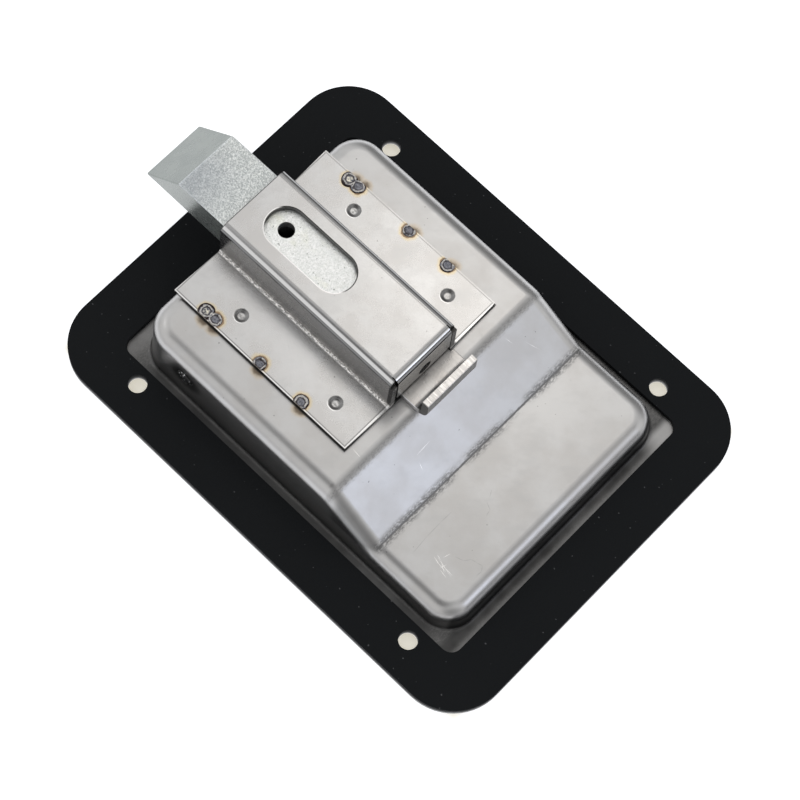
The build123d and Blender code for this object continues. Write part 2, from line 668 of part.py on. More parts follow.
def pin_clips():
    clips = []
    for low, high in clip_places():
        clip = rod_y(PIN_X, PIN_Z, (low, high), CLIP_RADIUS)
        through = (low - OVERSHOOT, high + OVERSHOOT)
        clip -= rod_y(PIN_X, PIN_Z, through, CLIP_GROOVE_RADIUS + FIT)
        mouth = (PIN_Z - CLIP_MOUTH_HALF, PIN_Z + CLIP_MOUTH_HALF)
        clip -= block((PIN_X, PIN_X + CLIP_RADIUS + OVERSHOOT), through, mouth)
        clips.append(clip)
    return Compound(clips)


def paddle_spring():
    """Torsion spring, one leg under the pan and the other on the paddle."""
    heights = [COIL_START_Y + COIL_PITCH * quarter / 4 for quarter in range(4 * COIL_TURNS + 1)]

    def to_world(point):
        return (PIN_X + point[0], point[2], PIN_Z + point[1])

    rows = coil_points(heights, COIL_MEAN_RADIUS, to_world)
    arcs = coil_path(rows)
    first, first_way = rows[0]
    last, last_way = rows[-1]
    reach = COIL_MEAN_RADIUS + COIL_WIRE
    curl_z = PIN_Z - math.sqrt((CURL_RADIUS - SHEET) ** 2 - reach ** 2)
    down = first.Z - (curl_z + SPRING_SEAT_GAP)
    up = PAN_CEILING_Z - COIL_WIRE / 2 - SPRING_SEAT_GAP - last.Z
    foot = first - first_way * (down / first_way.Z)
    top = last + last_way * (up / last_way.Z)
    path = Wire([Line(foot, first)] + arcs + [Line(last, top)])
    section = Plane(origin=path @ 0, z_dir=path % 0) * Circle(COIL_WIRE / 2)
    coil = Wire(arcs)
    print("paddle spring least gap", round(least_gap(coil, COIL_WIRE, 2 * math.pi * COIL_MEAN_RADIUS), 2))
    return sweep(section, path=path)


# Paddle and arm

def paddle_plate():
    inner_radius = CURL_RADIUS - SHEET
    end = math.radians(PADDLE_CURL_END - 90)
    outer_end = (PIN_X + CURL_RADIUS * math.cos(end), 0, PIN_Z + CURL_RADIUS * math.sin(end))
    inner_end = (PIN_X + inner_radius * math.cos(end), 0, PIN_Z + inner_radius * math.sin(end))
    lip_top = PADDLE_FRONT_Z + SHEET + PADDLE_LIP
    outline = Wire([
        Line((PADDLE_FREE_X, 0, PADDLE_FRONT_Z), (PIN_X, 0, PADDLE_FRONT_Z)),
        TangentArc((PIN_X, 0, PADDLE_FRONT_Z), outer_end, tangent=(1, 0, 0)),
        Line(outer_end, inner_end),
        TangentArc((PIN_X, 0, PADDLE_INNER_Z), inner_end, tangent=(1, 0, 0)),
        Line((PIN_X, 0, PADDLE_INNER_Z), (PADDLE_FREE_X + SHEET, 0, PADDLE_INNER_Z)),
        Line((PADDLE_FREE_X + SHEET, 0, PADDLE_INNER_Z), (PADDLE_FREE_X + SHEET, 0, lip_top)),
        Line((PADDLE_FREE_X + SHEET, 0, lip_top), (PADDLE_FREE_X, 0, lip_top)),
        Line((PADDLE_FREE_X, 0, lip_top), (PADDLE_FREE_X, 0, PADDLE_FRONT_Z)),
    ])
    body = across(make_face(outline), (-PADDLE_HALF_WIDTH, PADDLE_HALF_WIDTH))
    skirt = side_face([
        (PADDLE_FREE_X, PADDLE_FRONT_Z),
        (PIN_X, PADDLE_FRONT_Z),
        (PIN_X + PADDLE_EAR_RADIUS, PIN_Z - PADDLE_SKIRT_FRONT_DROP),
        (PIN_X + PADDLE_EAR_RADIUS, PIN_Z),
        (PIN_X - PADDLE_EAR_RADIUS, PIN_Z),
        (PIN_X - 2 * PADDLE_EAR_RADIUS, PADDLE_SKIRT_Z),
        (PADDLE_FREE_X + PADDLE_SKIRT_RUN_OUT, PADDLE_SKIRT_Z),
        (PADDLE_FREE_X, PADDLE_INNER_Z + PADDLE_LIP),
    ])
    for side in (-1, 1):
        y = sorted((side * (PADDLE_HALF_WIDTH - SHEET), side * PADDLE_HALF_WIDTH))
        body += across(skirt, y)
        body += rod_y(PIN_X, PIN_Z, y, PADDLE_EAR_RADIUS)
    body = fillet([e for e in body.edges() if front_edge(e)], PADDLE_EDGE_ROUND)
    reach = PADDLE_HALF_WIDTH + OVERSHOOT
    body -= rod_y(PIN_X, PIN_Z, (-reach, reach), PIN_RADIUS + PIN_RUNNING_GAP)
    cup = LOCK_HEAD_RADIUS + LOCK_CUP_GAP
    body += rod_z(LOCK_X, 0, (PADDLE_INNER_Z - OVERLAP, LOCK_SEAT_Z + SHEET), cup + SHEET)
    body -= rod_z(LOCK_X, 0, (PADDLE_FRONT_Z - OVERSHOOT, LOCK_SEAT_Z), cup)
    body -= lock_barrel(LOCK_HOLE_GAP, (PADDLE_FRONT_Z, LOCK_SEAT_Z + SHEET + OVERSHOOT))
    for y in arm_rivet_places():
        body -= rod_z(ARM_RIVET_X, y, (PADDLE_FRONT_Z - OVERSHOOT, PADDLE_INNER_Z + OVERSHOOT),
                      ARM_RIVET_RADIUS + FIT)
        sink = ARM_RIVET_HEAD - ARM_RIVET_RADIUS
        body -= cone_z(ARM_RIVET_X, y, (PADDLE_FRONT_Z, PADDLE_FRONT_Z + sink),
                       ARM_RIVET_HEAD + FIT, ARM_RIVET_RADIUS + FIT)
    return body


def front_edge(edge):
    """True for the long edges round the paddle's front face."""
    middle = edge @ 0.5
    on_side = abs(abs(middle.Y) - PADDLE_HALF_WIDTH) < HAIR
    flat = abs(middle.Z - PADDLE_FRONT_Z) < HAIR
    size = edge.bounding_box().size
    if flat and on_side and size.X > PADDLE_EAR_RADIUS:
        return True
    return flat and abs(middle.X - PADDLE_FREE_X) < HAIR and size.Y > PADDLE_EAR_RADIUS


def arm_rivet_places():
    return (-ARM_RIVET_SPREAD, ARM_RIVET_SPREAD)


def arm_prong(middle_y):
    """One leaning shank from the hinge pin to its round nose."""
    y = (middle_y - ARM_WIDTH / 2, middle_y + ARM_WIDTH / 2)
    shank = Box(ARM_THICKNESS, ARM_WIDTH, ARM_RADIUS)
    lean = math.degrees(HALF_SWING)
    prong = Pos((PIN_X + NOSE_X) / 2, middle_y, (PIN_Z + NOSE_Z) / 2) * Rot(0, lean, 0) * shank
    return prong + rod_y(NOSE_X, NOSE_Z, y, ARM_NOSE_RADIUS)


def lever_arm():
    """Forked arm on the hinge pin, its prongs either side of the bolt's tapped hole."""
    hub_half = ARM_SPREAD + ARM_WIDTH / 2
    y = (-hub_half, hub_half)
    body = rod_y(PIN_X, PIN_Z, y, ARM_HUB_RADIUS)
    for arm_y in ARM_YS:
        body += arm_prong(arm_y)
    web = side_face([
        (PIN_X, PADDLE_INNER_Z),
        (PIN_X + ARM_WEB_FRONT, PIN_Z - ARM_HUB_RADIUS),
        (PIN_X + ARM_WEB_FRONT, PIN_Z),
        (PIN_X - ARM_HUB_RADIUS, PIN_Z),
        (PIN_X - 2 * ARM_HUB_RADIUS, PADDLE_INNER_Z + ARM_FOOT_THICKNESS),
        (PIN_X - 2 * ARM_HUB_RADIUS, PADDLE_INNER_Z),
    ])
    body += across(web, y)
    foot_y = (-ARM_FOOT_WIDTH / 2, ARM_FOOT_WIDTH / 2)
    foot_z = (PADDLE_INNER_Z, PADDLE_INNER_Z + ARM_FOOT_THICKNESS)
    foot = block((ARM_FOOT_BACK_X, PIN_X - ARM_HUB_RADIUS), foot_y, foot_z)
    body += fillet(foot.edges().filter_by(Axis.Z), ARM_FOOT_ROUND)
    body -= rod_y(PIN_X, PIN_Z, (y[0] - OVERSHOOT, y[1] + OVERSHOOT), PIN_RADIUS + PIN_RUNNING_GAP)
    for place_y in arm_rivet_places():
        through = (foot_z[0] - OVERSHOOT, foot_z[1] + OVERSHOOT)
        body -= rod_z(ARM_RIVET_X, place_y, through, ARM_RIVET_RADIUS + FIT)
    return body


def lever_rivets():
    rivets = []
    foot_top = PADDLE_INNER_Z + ARM_FOOT_THICKNESS
    for y in arm_rivet_places():
        sink = ARM_RIVET_HEAD - ARM_RIVET_RADIUS
        rivet = rod_z(ARM_RIVET_X, y, (PADDLE_FRONT_Z, foot_top + OVERLAP), ARM_RIVET_RADIUS)
        rivet += cone_z(ARM_RIVET_X, y, (PADDLE_FRONT_Z, PADDLE_FRONT_Z + sink),
                        ARM_RIVET_HEAD, ARM_RIVET_RADIUS)
        top = foot_top + ARM_RIVET_HEAD_HEIGHT
        head = rod_z(ARM_RIVET_X, y, (foot_top, top), ARM_RIVET_HEAD)
        crown = [e for e in head.edges() if (e @ 0.5).Z > top - HAIR]
        rivets.append(rivet + fillet(crown, ARM_RIVET_CROWN))
    return Compound(rivets)


# Keyed cylinder

def lock_barrel(gap, z):
    """A round bar with two flats, as the lock's barrel or, with a gap, the hole for it."""
    radius = LOCK_BARREL_RADIUS + gap
    flat_half = LOCK_FLAT_HALF + gap
    return rod_z(LOCK_X, 0, z, radius) & block((LOCK_X - flat_half, LOCK_X + flat_half), (-radius, radius), z)


def plug_bore(radius, z):
    return rod_z(LOCK_X, 0, z, radius)


def lock_body():
    head_front = PADDLE_FRONT_Z + LOCK_HEAD_SET_BACK
    head = rod_z(LOCK_X, 0, (head_front, LOCK_SEAT_Z), LOCK_HEAD_RADIUS)
    rim = [e for e in head.edges() if abs((e @ 0.5).Z - head_front) < HAIR]
    body = fillet(rim, LOCK_HEAD_ROUND)
    body += lock_barrel(0, (LOCK_SEAT_Z - OVERLAP, LOCK_BARREL_TOP_Z))
    lip = PLUG_LIP_THICKNESS + head_front
    body -= plug_bore(PLUG_LIP_RADIUS + PLUG_RUNNING_GAP, (head_front - OVERSHOOT, lip + OVERSHOOT))
    body -= plug_bore(PLUG_RADIUS + PLUG_RUNNING_GAP, (lip, LOCK_BARREL_TOP_Z + OVERSHOOT))
    groove = PLUG_RADIUS + WAFER_GROOVE_DEPTH
    half = WAFER_WIDTH / 2 + WAFER_GAP
    groove_z = (lip + WAFER_GROOVE_FOOT, LOCK_BARREL_TOP_Z - WAFER_GROOVE_HEAD)
    return body - block((LOCK_X - half, LOCK_X + half), (-groove, groove), groove_z)


def wafer_heights():
    return [WAFER_FIRST_Z + number * WAFER_PITCH for number in range(WAFER_COUNT)]


def lock_plug():
    front = PADDLE_FRONT_Z + PLUG_SET_BACK
    lip = PADDLE_FRONT_Z + LOCK_HEAD_SET_BACK + PLUG_LIP_THICKNESS + PLUG_RUNNING_GAP
    body = plug_bore(PLUG_LIP_RADIUS, (front, lip + OVERLAP))
    body += plug_bore(PLUG_RADIUS, (lip, CAM_BOTTOM_Z))
    square = CAM_SQUARE / 2
    body += block((LOCK_X - square, LOCK_X + square), (-square, square), (CAM_BOTTOM_Z - OVERLAP, CAM_TOP_Z))
    key = (KEYWAY_WIDTH / 2, KEYWAY_HEIGHT / 2)
    body -= block((LOCK_X - key[0], LOCK_X + key[0]), (-key[1], key[1]), (front - OVERSHOOT, KEYWAY_TOP_Z))
    half = WAFER_WIDTH / 2 + WAFER_GAP / 2
    for z in wafer_heights():
        body -= block((LOCK_X - half, LOCK_X + half), (-PLUG_RADIUS - OVERSHOOT, PLUG_RADIUS + OVERSHOOT),
                      (z - WAFER_GAP / 2, z + WAFER_THICKNESS + WAFER_GAP / 2))
    body -= rod_z(LOCK_X, 0, (CAM_TOP_Z - CAM_SCREW_DEPTH, CAM_TOP_Z + OVERSHOOT), CAM_SCREW_RADIUS + FIT)
    return body


def wafers():
    plates = []
    for number, z in enumerate(wafer_heights()):
        half = WAFER_WIDTH / 2 - WAFER_GAP / 2
        plate = block((LOCK_X - half, LOCK_X + half), (-WAFER_LENGTH / 2, WAFER_LENGTH / 2),
                      (z, z + WAFER_THICKNESS))
        cut = WAFER_CUT_STEP * ((number * 2) % 3)
        window = (KEYWAY_WIDTH / 2 + WAFER_CUT_STEP, KEYWAY_HEIGHT / 2 - WAFER_WINDOW_MARGIN)
        plate -= block((LOCK_X - window[0], LOCK_X + window[0]), (-window[1] + cut, window[1] - cut / 2),
                       (z - OVERSHOOT, z + WAFER_THICKNESS + OVERSHOOT))
        plates.append(plate)
    return Compound(plates)


def lock_washer():
    seat = LOCK_SEAT_Z + SHEET
    ring = rod_z(LOCK_X, 0, (seat, seat + LOCK_WASHER_THICKNESS), LOCK_WASHER_RADIUS)
    through = (seat - OVERSHOOT, seat + LOCK_WASHER_THICKNESS + OVERSHOOT)
    return ring - rod_z(LOCK_X, 0, through, LOCK_BARREL_RADIUS + LOCK_HOLE_GAP)


def lock_nut():
    seat = LOCK_SEAT_Z + SHEET + LOCK_WASHER_THICKNESS
    hexagon = RegularPolygon(LOCK_NUT_HALF, 6, major_radius=False)
    nut = Pos(LOCK_X, 0, seat) * extrude(hexagon, LOCK_NUT_THICKNESS)
    nut &= cone_z(LOCK_X, 0, (seat, seat + LOCK_NUT_THICKNESS), LOCK_NUT_LOW_CONE, LOCK_NUT_HIGH_CONE)
    through = (seat - OVERSHOOT, seat + LOCK_NUT_THICKNESS + OVERSHOOT)
    return nut - rod_z(LOCK_X, 0, through, LOCK_BARREL_RADIUS + FIT)


def cam():
    z = (CAM_BOTTOM_Z, CAM_TOP_Z)
    body = rod_z(LOCK_X, 0, z, CAM_HUB_RADIUS)
    arm_end = LOCK_X + CAM_REACH - CAM_HALF_WIDTH
    body += block((LOCK_X, arm_end), (-CAM_HALF_WIDTH, CAM_HALF_WIDTH), z)
    body += rod_z(arm_end, 0, z, CAM_HALF_WIDTH)
    square = CAM_SQUARE / 2 + FIT
    through = (z[0] - OVERSHOOT, z[1] + OVERSHOOT)
    return body - block((LOCK_X - square, LOCK_X + square), (-square, square), through)


def cam_washer():
    z = (CAM_TOP_Z, CAM_TOP_Z + CAM_WASHER_THICKNESS)
    ring = rod_z(LOCK_X, 0, z, CAM_WASHER_RADIUS)
    return ring - rod_z(LOCK_X, 0, (z[0] - OVERSHOOT, z[1] + OVERSHOOT), CAM_SCREW_RADIUS + LOCK_HOLE_GAP)


def cam_screw():
    seat = CAM_TOP_Z + CAM_WASHER_THICKNESS
    end = CAM_TOP_Z - CAM_SCREW_DEPTH + CAM_SCREW_END_GAP
    top = seat + CAM_SCREW_HEAD
    screw = rod_z(LOCK_X, 0, (end, seat + OVERLAP), CAM_SCREW_RADIUS)
    head = rod_z(LOCK_X, 0, (seat, top), CAM_SCREW_HEAD_RADIUS)
    head = fillet([e for e in head.edges() if (e @ 0.5).Z > top - HAIR], CAM_SCREW_CROWN)
    for turn in (0, 90):
        slot = Box(CAM_SCREW_SLOT_LENGTH, CAM_SCREW_SLOT_WIDTH, 2 * CAM_SCREW_SLOT_DEPTH)
        head -= Pos(LOCK_X, 0, top) * Rot(0, 0, turn) * slot
    return screw + head


def cam_keeper():
    """Bracket under the pan's ceiling that the cam turns up to."""
    face_y = -(CAM_REACH + KEEPER_CLEARANCE)
    outer_y = face_y - SHEET
    foot_y = KEEPER_WALL_INSET - PAN_HALF_WIDTH
    points = [(face_y, KEEPER_FOOT_Z), (face_y, PAN_CEILING_Z), (foot_y, PAN_CEILING_Z),
              (foot_y, PAN_CEILING_Z - SHEET), (outer_y, PAN_CEILING_Z - SHEET), (outer_y, KEEPER_FOOT_Z)]
    start = LOCK_X - KEEPER_WIDTH / 2
    face = make_face(Polyline(*[(start, y, z) for y, z in points], close=True))
    body = extrude(face, KEEPER_WIDTH, dir=(1, 0, 0))
    fold = [e for e in body.edges().filter_by(Axis.X)
            if abs((e @ 0.5).Y - face_y) < HAIR and abs((e @ 0.5).Z - PAN_CEILING_Z) < HAIR]
    body = fillet(fold, KEEPER_BEND)
    foot = [e for e in body.edges().filter_by(Axis.Z) if abs((e @ 0.5).Y - foot_y) < HAIR]
    return fillet(foot, KEEPER_BEND)


save("dish_plate", dish_plate())
save("gasket", gasket())
save("bolt_housing", bolt_housing())
save("slam_bolt", slam_bolt())
save("release_tab", release_tab())
save("tab_rivets", tab_rivets())
save("spring_guide_rod", spring_guide_rod())
save("bolt_spring", bolt_spring())
save("hinge_pin", hinge_pin())
save("pin_clips", pin_clips())
save("paddle_spring", paddle_spring())
save("paddle_plate", paddle_plate())
save("lever_arm", lever_arm())
save("lever_rivets", lever_rivets())
save("lock_body", lock_body())
save("lock_plug", lock_plug())
save("wafers", wafers())
save("lock_washer", lock_washer())
save("lock_nut", lock_nut())
save("cam", cam())
save("cam_washer", cam_washer())
save("cam_screw", cam_screw())
save("cam_keeper", cam_keeper())
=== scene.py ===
# %% [markdown]
# A panel lock seen from behind: a pressed stainless dish with a rubber gasket, and on it a
# welded housing that guides a beveled bolt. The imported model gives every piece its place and
# size. Here each piece that shows is modelled again, cleanly, and gets its finish.

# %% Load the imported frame
import math

import bmesh
import bpy
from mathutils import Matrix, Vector


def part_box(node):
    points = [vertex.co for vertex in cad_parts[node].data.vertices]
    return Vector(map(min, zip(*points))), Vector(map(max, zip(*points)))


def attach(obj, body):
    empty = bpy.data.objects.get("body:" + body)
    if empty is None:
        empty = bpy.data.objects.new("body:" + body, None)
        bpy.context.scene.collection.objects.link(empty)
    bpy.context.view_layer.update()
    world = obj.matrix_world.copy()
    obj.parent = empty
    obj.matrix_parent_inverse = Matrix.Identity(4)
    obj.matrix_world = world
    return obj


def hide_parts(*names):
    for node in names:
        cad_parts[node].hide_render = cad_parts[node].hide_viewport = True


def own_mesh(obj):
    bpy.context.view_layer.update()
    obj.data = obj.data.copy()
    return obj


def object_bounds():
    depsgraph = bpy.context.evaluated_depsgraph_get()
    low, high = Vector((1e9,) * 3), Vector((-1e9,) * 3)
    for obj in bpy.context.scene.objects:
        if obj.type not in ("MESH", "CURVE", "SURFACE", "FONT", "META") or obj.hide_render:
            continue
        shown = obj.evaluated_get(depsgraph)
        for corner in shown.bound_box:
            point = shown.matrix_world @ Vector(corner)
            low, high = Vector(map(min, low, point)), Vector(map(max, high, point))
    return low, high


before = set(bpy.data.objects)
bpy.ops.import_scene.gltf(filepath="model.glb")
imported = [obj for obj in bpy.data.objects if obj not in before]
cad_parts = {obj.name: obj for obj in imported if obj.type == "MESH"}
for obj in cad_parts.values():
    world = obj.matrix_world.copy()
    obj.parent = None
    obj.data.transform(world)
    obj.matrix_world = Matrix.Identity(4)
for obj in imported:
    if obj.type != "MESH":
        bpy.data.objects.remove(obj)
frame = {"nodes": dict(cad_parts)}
cad_low, cad_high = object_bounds()
nodes = frame["nodes"]
print("nodes", len(nodes), "size in mm", [round(v * 1000, 1) for v in cad_high - cad_low])

# %% [markdown]
# All sizes below are millimetres, as on a workshop drawing, and turn into metres where a tool
# needs them. The outer limits come from the frame's boxes, so that they can't drift from it.
# A box doesn't tell where a wall, a slope or a wing begins, so those places are written here.

# %% Sizes
MM = 0.001    # one millimetre in metres
NEAR = 0.05   # two places closer than this count as one


def limits(node):
    """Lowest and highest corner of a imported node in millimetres."""
    low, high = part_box(node)
    return low / MM, high / MM


DISH_LOW, DISH_HIGH = limits("dish_plate")
GASKET_LOW = limits("gasket")[0]
HOUSING_LOW, HOUSING_HIGH = limits("bolt_housing")
BOLT_LOW, BOLT_HIGH = limits("slam_bolt")
TAB_LOW, TAB_HIGH = limits("release_tab")
ROD_LOW, ROD_HIGH = limits("spring_guide_rod")
PIN_LOW, PIN_HIGH = limits("hinge_pin")
COIL_LOW, COIL_HIGH = limits("bolt_spring")
TORSION_LOW, TORSION_HIGH = limits("paddle_spring")

SHEET = 1.5
PAN_X = (-53.0, 52.5)        # the pan's two ends at its foot
PAN_HALF_WIDTH = 38.2
SHALLOW_TOP_Z = 7.3
SLOPE_TOP_X = -10.8
SLOPE_FOOT_X = -26.5
CHANNEL_HALF_WIDTH = 11.15
WING_HALF_WIDTH = 26.1
WING_X = (-5.8, 51.4)        # the wings' rear and front edge
CHANNEL_FRONT_X = 50.9
AXIS_Y = (ROD_LOW.y + ROD_HIGH.y) / 2    # of the rod, its spring and the tapped hole
ROD_Z = (ROD_LOW.z + ROD_HIGH.z) / 2
PIN_X = (PIN_LOW.x + PIN_HIGH.x) / 2
PIN_Z = (PIN_LOW.z + PIN_HIGH.z) / 2
DEEP_TOP_Z = DISH_HIGH.z
FLANGE_REAR_Z = GASKET_LOW.z
WING_TOP_Z = DEEP_TOP_Z + SHEET
print("pan", PAN_X, "deep top", round(DEEP_TOP_Z, 2), "wing top", round(WING_TOP_Z, 2))

# %% [markdown]
# Modelling by hand means: put down a primitive, go into edit mode, pick an edge or a face, and
# extrude, inset or bevel it. These first helpers put the primitives down. Each one moves its
# place and size into the mesh, so that a coordinate means the same in every object.

# %% Primitives


def deselect():
    """Leaves edit mode with nothing selected."""
    if bpy.context.object and bpy.context.object.mode != "OBJECT":
        bpy.ops.object.mode_set(mode="OBJECT")
    bpy.ops.object.select_all(action="DESELECT")


def take(obj):
    """Makes one object the only selected and active one."""
    deselect()
    obj.select_set(True)
    bpy.context.view_layer.objects.active = obj
    return obj


def settle(name):
    """Names the new primitive and moves its place and size into its mesh."""
    obj = bpy.context.object
    obj.name = name
    bpy.ops.object.transform_apply(location=True, rotation=True, scale=True)
    return obj


def add_block(name, low, high):
    """A cube primitive between two corners."""
    deselect()
    low, high = Vector(low), Vector(high)
    bpy.ops.mesh.primitive_cube_add(
        size=1, location=(low + high) / 2 * MM, scale=(high - low) * MM)
    return settle(name)


def add_plane(name, x, y, z):
    """A plane primitive at a height."""
    deselect()
    middle = ((x[0] + x[1]) / 2 * MM, (y[0] + y[1]) / 2 * MM, z * MM)
    bpy.ops.mesh.primitive_plane_add(size=1, location=middle)
    bpy.ops.transform.resize(value=((x[1] - x[0]) * MM, (y[1] - y[0]) * MM, 1))
    return settle(name)


def add_rod(name, low, high, radius, sides=48, axis="Z"):
    """A cylinder primitive between two points that differ on one axis."""
    deselect()
    low, high = Vector(low), Vector(high)
    turn = {"X": (0, math.pi / 2, 0), "Y": (math.pi / 2, 0, 0), "Z": (0, 0, 0)}[axis]
    bpy.ops.mesh.primitive_cylinder_add(
        vertices=sides, radius=radius * MM, depth=(high - low).length * MM,
        location=(low + high) / 2 * MM, rotation=turn)
    return settle(name)


# %% [markdown]
# In a script the picking is a question about place: every edge whose middle lies there. These
# helpers say that in one line each, and pull or round what was picked.

# %% Picking and pulling


def edit(obj):
    """Opens an object for changes to its mesh."""
    take(obj)
    bpy.ops.object.mode_set(mode="EDIT")
    return obj


def leave():
    """Ends the changes to a mesh."""
    bpy.ops.object.mode_set(mode="OBJECT")


def pick(kind, test):
    """Selects what passes a test of its middle in millimetres and the element itself."""
    bpy.ops.mesh.select_mode(type=kind)
    bpy.ops.mesh.select_all(action="DESELECT")
    mesh = bpy.context.object.data
    shape = bmesh.from_edit_mesh(mesh)
    shape.normal_update()
    found = 0
    for item in {"VERT": shape.verts, "EDGE": shape.edges, "FACE": shape.faces}[kind]:
        points = [item.co] if kind == "VERT" else [v.co for v in item.verts]
        middle = sum(points, Vector()) / len(points) / MM
        if test(middle, item):
            item.select_set(True)
            found += 1
    shape.select_flush_mode()
    bmesh.update_edit_mesh(mesh)
    return found


def along(item, axis):
    """Length of an edge on one axis, in millimetres."""
    a, b = (v.co for v in item.verts)
    return abs((a - b)[axis]) / MM


def move(x=0.0, y=0.0, z=0.0):
    """Moves what is selected."""
    bpy.ops.transform.translate(value=(x * MM, y * MM, z * MM))


def extrude_edges(x=0.0, y=0.0, z=0.0):
    """Draws new sheet out of the selected edges."""
    bpy.ops.mesh.extrude_edges_move(TRANSFORM_OT_translate={"value": (x * MM, y * MM, z * MM)})


def bevel_picked(width, segments, affect="EDGES"):
    """Rounds the selected edges or corners."""
    bpy.ops.mesh.bevel(offset=width * MM, segments=segments, profile=0.5, affect=affect,
                       clamp_overlap=False)


def face_upwards(obj):
    """Turns an open sheet so that its flat parts look up."""
    edit(obj)
    bpy.ops.mesh.select_all(action="SELECT")
    bpy.ops.mesh.normals_make_consistent(inside=False)
    leave()
    if sum(f.normal.z * f.area for f in obj.data.polygons) < 0:
        edit(obj)
        bpy.ops.mesh.select_all(action="SELECT")
        bpy.ops.mesh.flip_normals()
        leave()
    return obj


# %% [markdown]
# Holes, the sheet's thickness and the broken edges come from modifiers. A hole is what is left
# when a plain block or rod is taken away, just as on a milling machine.

# %% Cutting and finishing
SLIVER = 0.002    # edges shorter than this are leftovers of a cut


def apply(obj, kind, **settings):
    """Adds a modifier with its settings and applies it."""
    take(obj)
    modifier = obj.modifiers.new(kind.title(), kind)
    for key, value in settings.items():
        setattr(modifier, key, value)
    bpy.ops.object.modifier_apply(modifier=modifier.name)
    return obj


def cut(obj, cutter):
    """Takes the cutter's shape away and deletes the cutter."""
    apply(obj, "BOOLEAN", operation="DIFFERENCE", solver="EXACT", object=cutter)
    bpy.data.objects.remove(cutter)


def drill(obj, low, high, radius, axis="Z"):
    """Drills a round hole between two points that differ on one axis."""
    cut(obj, add_rod("drill", low, high, radius, axis=axis))


def mill(obj, low, high):
    """Mills away the block between two corners."""
    cut(obj, add_block("cutter", low, high))


def thicken(obj, thickness, offset=-1.0):
    """Makes a plate of a bare surface."""
    return apply(obj, "SOLIDIFY", thickness=thickness * MM, offset=offset, use_even_offset=True)


def break_edges(obj, width, segments=2, angle=50):
    """Takes the sharpness off edges that turn by more than an angle."""
    apply(obj, "BEVEL", width=width * MM, segments=segments, limit_method="ANGLE",
          angle_limit=math.radians(angle), harden_normals=False, use_clamp_overlap=True)
    edit(obj)
    bpy.ops.mesh.select_all(action="SELECT")
    bpy.ops.mesh.dissolve_degenerate(threshold=SLIVER * MM)
    leave()


def smooth(obj, angle=35):
    """Smooth shading that keeps sharp folds sharp and flat faces flat."""
    take(obj)
    bpy.ops.object.shade_smooth_by_angle(angle=math.radians(angle))
    return apply(obj, "WEIGHTED_NORMAL", weight=80, keep_sharp=True)


def merge(*objects):
    """Joins objects into the first one."""
    take(objects[0])
    for other in objects[1:]:
        other.select_set(True)
    bpy.ops.object.join()
    return objects[0]


def report(obj):
    """Prints how many faces a piece has and how large it is."""
    size = Vector(obj.dimensions) / MM
    print(obj.name, "faces", len(obj.data.polygons), "size in mm", [round(v, 2) for v in size])


# %% [markdown]
# The dish is one sheet, drawn in a press: flat flange, steep walls, and a top in two steps with
# a slope between them. It could be a solid with its inside cut out, but sheet metal is easier
# as a bare surface: a cube without its bottom, split where the slope begins and ends, with the
# low end pushed down. Bevels then make the bends, and Solidify makes the 1.5 mm sheet.

# %% Pan
PAN_CORNER = 7.6
PAN_DRAFT = math.tan(math.radians(2.5))
PAN_TOP_ROUND = 4.4
SLOPE_TOP_RADIUS = 5.5
SLOPE_FOOT_RADIUS = 1.0
RIM_SETBACK = 0.957    # tangent of half the angle between the top and a leaning wall


def is_wall(face):
    """Tells a steep face from the flat ones and the slope."""
    return abs(face.normal.z) < 0.3


def is_fold(edge):
    """True where a steep face meets one that isn't."""
    return len(edge.link_faces) == 2 and is_wall(edge.link_faces[0]) != is_wall(edge.link_faces[1])


def shape_pan():
    """The bare surface: no bottom, and a top in two steps with the slope between them."""
    low = (PAN_X[0], -PAN_HALF_WIDTH, FLANGE_REAR_Z)
    pan = edit(add_block("dish", low, (PAN_X[1], PAN_HALF_WIDTH, DEEP_TOP_Z)))
    pick("FACE", lambda m, f: m.z < FLANGE_REAR_Z + NEAR)
    bpy.ops.mesh.delete(type="FACE")
    for x in (SLOPE_FOOT_X, SLOPE_TOP_X):
        bpy.ops.mesh.select_all(action="SELECT")
        bpy.ops.mesh.bisect(plane_co=(x * MM, 0, 0), plane_no=(1, 0, 0))
    pick("VERT", lambda m, v: m.x < SLOPE_FOOT_X + NEAR and m.z > DEEP_TOP_Z - NEAR)
    move(z=SHALLOW_TOP_Z - DEEP_TOP_Z)
    inside = (PAN_X[0] + 1, PAN_X[1] - 1)
    pick("EDGE", lambda m, e: inside[0] < m.x < inside[1] and along(e, 2) > 1 and along(e, 0) < 1)
    bpy.ops.mesh.dissolve_edges()
    return pan


def lean_walls():
    """Draws the top in, as the press's draft needs."""
    for level, end_x in ((DEEP_TOP_Z, PAN_X[1]), (SHALLOW_TOP_Z, PAN_X[0])):
        lean = (level - FLANGE_REAR_Z) * PAN_DRAFT
        for side in (-1, 1):
            pick("VERT", lambda m, v: abs(m.z - level) < NEAR and m.y * side > 1)
            move(y=-side * lean)
        pick("VERT", lambda m, v: abs(m.z - level) < NEAR and abs(m.x - end_x) < NEAR)
        move(x=-math.copysign(lean, end_x))


